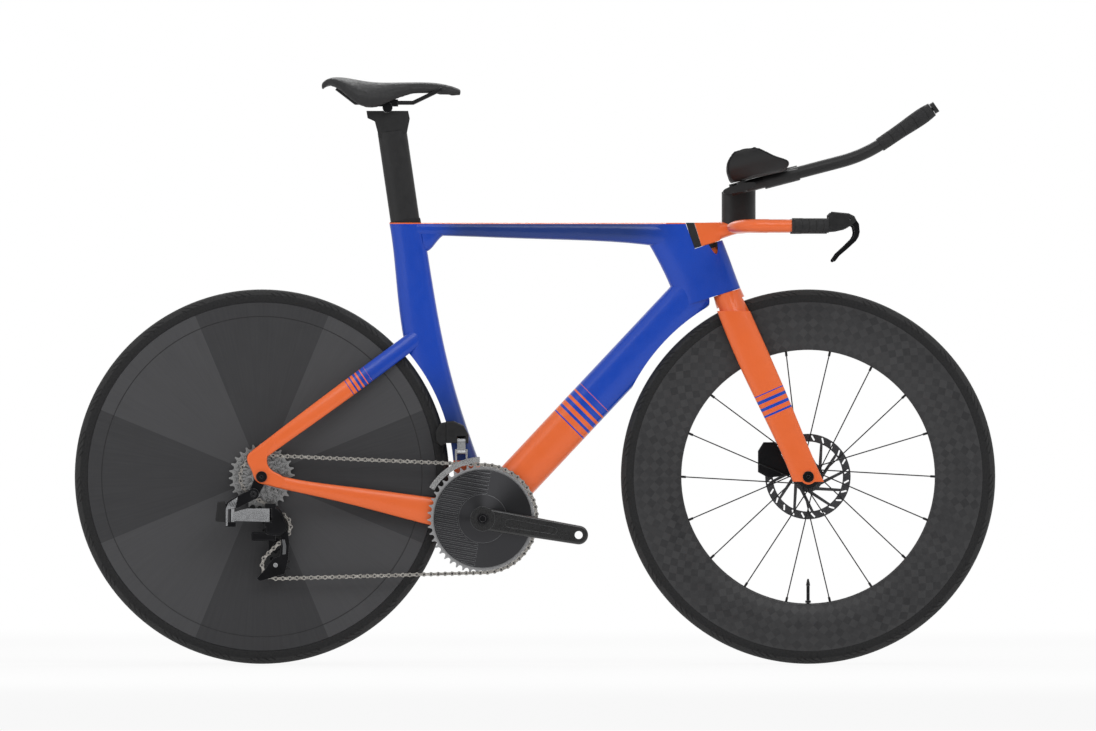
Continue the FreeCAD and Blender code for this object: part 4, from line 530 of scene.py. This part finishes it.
def swell(piece, pressure, most):
    """Blow the foam up with cloth pressure; no point moves further than most."""
    start = [vertex.co.copy() for vertex in piece.data.vertices]
    cloth = piece.modifiers.new("cloth", "CLOTH")
    cloth.settings.use_pressure = True
    cloth.settings.uniform_pressure_force = pressure
    cloth.settings.effector_weights.gravity = 0.0
    cloth.settings.quality = 4
    cloth.collision_settings.use_collision = False
    scene = bpy.context.scene
    for step in range(1, 21):
        scene.frame_set(step)
    settle(piece)
    scene.frame_set(1)
    for vertex, rest in zip(piece.data.vertices, start):
        move = vertex.co - rest
        if move.length > most:
            vertex.co = rest + move * (most / move.length)


def round_off(piece):
    """Smooth shading and one level of subdivision."""
    step = piece.modifiers.new("subdivision", "SUBSURF")
    step.levels = step.render_levels = 1
    piece.data.polygons.foreach_set("use_smooth", [True] * len(piece.data.polygons))


def foam(node, name, body, voxel, puff, sag, material):
    """Padded piece in the place of a CAD soft solid, a little fuller than it."""
    piece = flat_copy(node, name)
    thicken(piece, sag)
    remesh(piece, voxel)
    relax(piece, 2)
    swell(piece, 4.0, puff)
    relax(piece, 1)
    round_off(piece)
    dress(piece, material)
    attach(piece, body)
    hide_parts(node)
    return piece


foam("saddle_cover", "saddle_padding", "saddle", 0.003, 0.002, 0.003, saddle_skin())
foam("arm_pads", "arm_padding", "steering", 0.002, 0.0014, 0.0012, pad_fabric())


def piece_from(shape, name, body, material):
    """New piece from a finished bmesh, riding on a body."""
    bmesh.ops.recalc_face_normals(shape, faces=shape.faces)
    mesh = bpy.data.meshes.new(name)
    shape.to_mesh(mesh)
    shape.free()
    piece = bpy.data.objects.new(name, mesh)
    bpy.context.collection.objects.link(piece)
    dress(piece, material)
    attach(piece, body)
    return piece


def lathe(shape, centre, hand, profile, steps):
    """Turned form on an axis across the bike; rows are (radius, height), with the height away from the bike."""
    rings = []
    for radius, height in profile:
        ring = []
        for k in range(steps):
            turn = 2 * math.pi * k / steps
            ring.append(shape.verts.new((centre.x + radius * math.cos(turn), centre.y + hand * height,
                                         centre.z + radius * math.sin(turn))))
        rings.append(ring)
    for low, high in zip(rings, rings[1:]):
        for k in range(steps):
            shape.faces.new((low[k - 1], low[k], high[k], high[k - 1]))
    shape.faces.new(rings[0])
    shape.faces.new(rings[-1])


def plate(shape, outline, level, height, bevel):
    """Flat plate on the drive side with a side-view outline in metres and softened outer edges."""
    base = [shape.verts.new((x, level, z)) for x, z in outline]
    top = [shape.verts.new((x, level - height, z)) for x, z in outline]
    shape.faces.new(base)
    outer = shape.faces.new(top)
    for k in range(len(outline)):
        shape.faces.new((base[k - 1], base[k], top[k], top[k - 1]))
    bmesh.ops.bevel(shape, geom=list(outer.edges), offset=bevel, segments=2, affect="EDGES")


def chain_pins():
    """Places of the chain's pins, found from their end faces, the outermost points of the chain."""
    points = [vertex.co for vertex in nodes["chain"].data.vertices]
    end_face = min(point.y for point in points) + 0.00005
    pins = []
    for point in points:
        if point.y < end_face:
            near = [pin for pin in pins if (pin[0] - point).length < 0.005]
            if near:
                near[0].append(point)
            else:
                pins.append([point])
    places = []
    for pin in pins:
        across = [point.x for point in pin]
        up = [point.z for point in pin]
        places.append(((min(across) + max(across)) / 2, (min(up) + max(up)) / 2))
    return places


def chain_rivets():
    """Dished rivet ends on both faces of the chain."""
    low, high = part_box("chain")
    dish = [(0.0019, 0.0), (0.0019, 0.0002), (0.0015, 0.0003), (0.0011, 0.0001)]
    shape = bmesh.new()
    for x, z in chain_pins():
        lathe(shape, Vector((x, low[1], z)), -1, dish, 10)
        lathe(shape, Vector((x, high[1], z)), 1, dish, 10)
    return piece_from(shape, "chain_rivets", "root", black_steel)


bolt_profile = [(1.0, 0.0), (1.0, 0.28), (0.88, 0.4), (0.56, 0.4), (0.5, 0.15)]


def bolt_heads(name, body, material, places):
    """Button bolts with a sunk socket; a place gives the centre, the side it faces and the radius."""
    shape = bmesh.new()
    for centre, hand, radius in places:
        lathe(shape, Vector(centre), hand, [(share * radius, rise * radius) for share, rise in bolt_profile], 24)
    return piece_from(shape, name, body, material)


def pulley_centre(node):
    low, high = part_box(node)
    return (Vector(low) + Vector(high)) / 2


lower_pulley = pulley_centre("rd_lower_pulley")
cage_plate_face = lower_pulley.y - 0.0072


def cage_trim():
    """Pale strip let into the arm of the derailleur cage."""
    shape = bmesh.new()
    outline = [(0.0115, 0.046), (0.0165, 0.046), (0.0190, 0.034), (0.0185, 0.020), (0.0125, 0.019), (0.0135, 0.034)]
    plate(shape, [(lower_pulley.x + x, lower_pulley.z + z) for x, z in outline], cage_plate_face, 0.0005, 0.0002)
    return piece_from(shape, "cage_trim", "rd_cage", grey_alloy)


def knuckle_trim():
    """Polished plate on the derailleur's base knuckle, with a row of slanted ribs."""
    shape = bmesh.new()
    outline = [(-0.0425, -0.0365), (-0.0590, -0.0470), (-0.0640, -0.0575), (-0.0640, -0.0880),
               (-0.0605, -0.0880), (-0.0605, -0.0580), (-0.0470, -0.0560)]
    plate(shape, [(rear_axle.x + x, rear_axle.z + z) for x, z in outline], knuckle_face, 0.0009, 0.0004)
    return piece_from(shape, "knuckle_trim", "root", silver_alloy)


def knuckle_ribs():
    """Black slanted ribs across the polished plate."""
    shape = bmesh.new()
    for k in range(6):
        x, z = rear_axle.x - 0.0490 - 0.0026 * k, rear_axle.z - 0.0545 + 0.0006 * k
        outline = [(x, z), (x + 0.0012, z), (x + 0.0042, z + 0.0085), (x + 0.0030, z + 0.0085)]
        plate(shape, outline, knuckle_face - 0.0009, 0.0004, 0.0001)
    return piece_from(shape, "knuckle_ribs", "root", black_plastic)


chain_rivets()
cage_trim()
knuckle_trim()
knuckle_ribs()
bolt_heads("pulley_bolt", "rd_cage", silver_alloy,
           [((lower_pulley.x, cage_plate_face, lower_pulley.z), -1, 0.0042)])
bolt_heads("lever_pins", "steering", black_steel,
           [((lever_pin_x, hand * lever_face, lever_pin_z), hand, 0.0032) for hand in (-1, 1)])
bolt_heads("crank_caps", "crank", dark_alloy,
           [((bracket.x, right_boss_face, bracket.z), -1, 0.0105),
            ((bracket.x, left_spindle_end, bracket.z), 1, 0.0105)])


def world_light():
    """White backdrop for the eye and in reflections, darker on the camera's own side, softer for lighting."""
    world = bpy.data.worlds.new("studio")
    bpy.context.scene.world = world
    world.use_nodes = True
    tree = world.node_tree

    def step(kind, inputs, **settings):
        made = tree.nodes.new("ShaderNode" + kind)
        for key, value in settings.items():
            setattr(made, key, value)
        for key, value in inputs.items():
            if isinstance(value, bpy.types.NodeSocket):
                tree.links.new(value, made.inputs[key])
            else:
                made.inputs[key].default_value = value
        return made.outputs

    def fade(value, low, high, first, last):
        inputs = {"Value": value, "From Min": low, "From Max": high, "To Min": first, "To Max": last}
        return step("MapRange", inputs, interpolation_type="SMOOTHSTEP")[0]

    _, across, up = step("SeparateXYZ", {0: step("TexCoord", {})["Generated"]})
    near_side = fade(across, -0.85, -0.25, 1.0, 0.0)
    low_down = fade(up, 0.15, 0.7, 1.0, 0.0)
    dark_side = step("Math", {0: near_side, 1: low_down}, operation="MULTIPLY")[0]
    path = step("LightPath", {})
    mirrored = step("Math", {0: path["Is Glossy Ray"], 1: path["Is Transmission Ray"]}, operation="MAXIMUM")[0]
    lighting = step("MapRange", {"Value": mirrored, "To Min": 0.5, "To Max": fade(dark_side, 0.0, 1.0, 1.0, 0.15)})[0]
    strength = step("MapRange", {"Value": path["Is Camera Ray"], "To Min": lighting, "To Max": 1.0})[0]
    tree.links.new(strength, tree.nodes["Background"].inputs["Strength"])
    tree.nodes["Background"].inputs["Color"].default_value = (1.0, 1.0, 1.0, 1.0)


floor_size = 60.0


def studio_floor():
    """Pale floor that runs far behind the bike."""
    bpy.ops.mesh.primitive_plane_add(size=floor_size, location=(0.0, floor_size / 3, 0.0))
    floor = bpy.context.object
    floor.name = "studio_floor"
    look = Look("floor_paint", 0.9, specular=0.05)
    look.put("Base Color", look.mix(look.noise(3.0), srgb(250, 250, 250), srgb(254, 254, 254)))
    output = look.tree.nodes["Material Output"]
    path = look.node("LightPath", {})
    glow = look.node("Emission", {"Color": (1.0, 1.0, 1.0, 1.0), "Strength": 1.0})
    seen = look.math("MAXIMUM", path.outputs["Is Camera Ray"], path.outputs["Is Glossy Ray"])
    seen = look.math("MAXIMUM", seen, path.outputs["Is Transmission Ray"])
    share = look.math("MULTIPLY", seen, look.ramp(look.y, -18.0, -12.0, 0.87, 1.0))
    blend = look.node("MixShader", {0: share, 1: look.shader.outputs[0], 2: glow.outputs[0]})
    look.tree.links.new(blend.outputs[0], output.inputs["Surface"])
    dress(floor, look.material)


def area_light(name, place, target, size, power):
    lamp = bpy.data.lights.new(name, "AREA")
    lamp.shape = "RECTANGLE"
    lamp.size, lamp.size_y = size
    lamp.energy = power
    thing = bpy.data.objects.new(name, lamp)
    bpy.context.collection.objects.link(thing)
    thing.location = place
    thing.rotation_euler = (Vector(target) - Vector(place)).to_track_quat("-Z", "Y").to_euler()


camera_place = (0.0234, -54.8, 0.537)


def camera():
    """Long lens square to the drive side, as in the photograph."""
    lens = bpy.data.cameras.new("photo_camera")
    lens.sensor_width = 36.0
    lens.lens = 1000.0
    thing = bpy.data.objects.new("photo_camera", lens)
    bpy.context.collection.objects.link(thing)
    thing.location = camera_place
    thing.rotation_euler = (math.pi / 2, 0.0, 0.0)
    lens.clip_end = 200.0
    bpy.context.scene.camera = thing


world_light()
studio_floor()
area_light("key_light", (1.2, -3.4, 3.2), (0.0, 0.0, 0.5), (3.0, 2.0), 48.0)
area_light("fill_light", (-2.4, -3.2, 1.6), (-0.2, 0.0, 0.5), (2.2, 2.2), 18.0)
area_light("back_light", (0.0, 3.0, 3.0), (0.0, 0.0, 0.5), (3.0, 1.5), 40.0)
camera()
bpy.context.scene.view_settings.view_transform = "Standard"
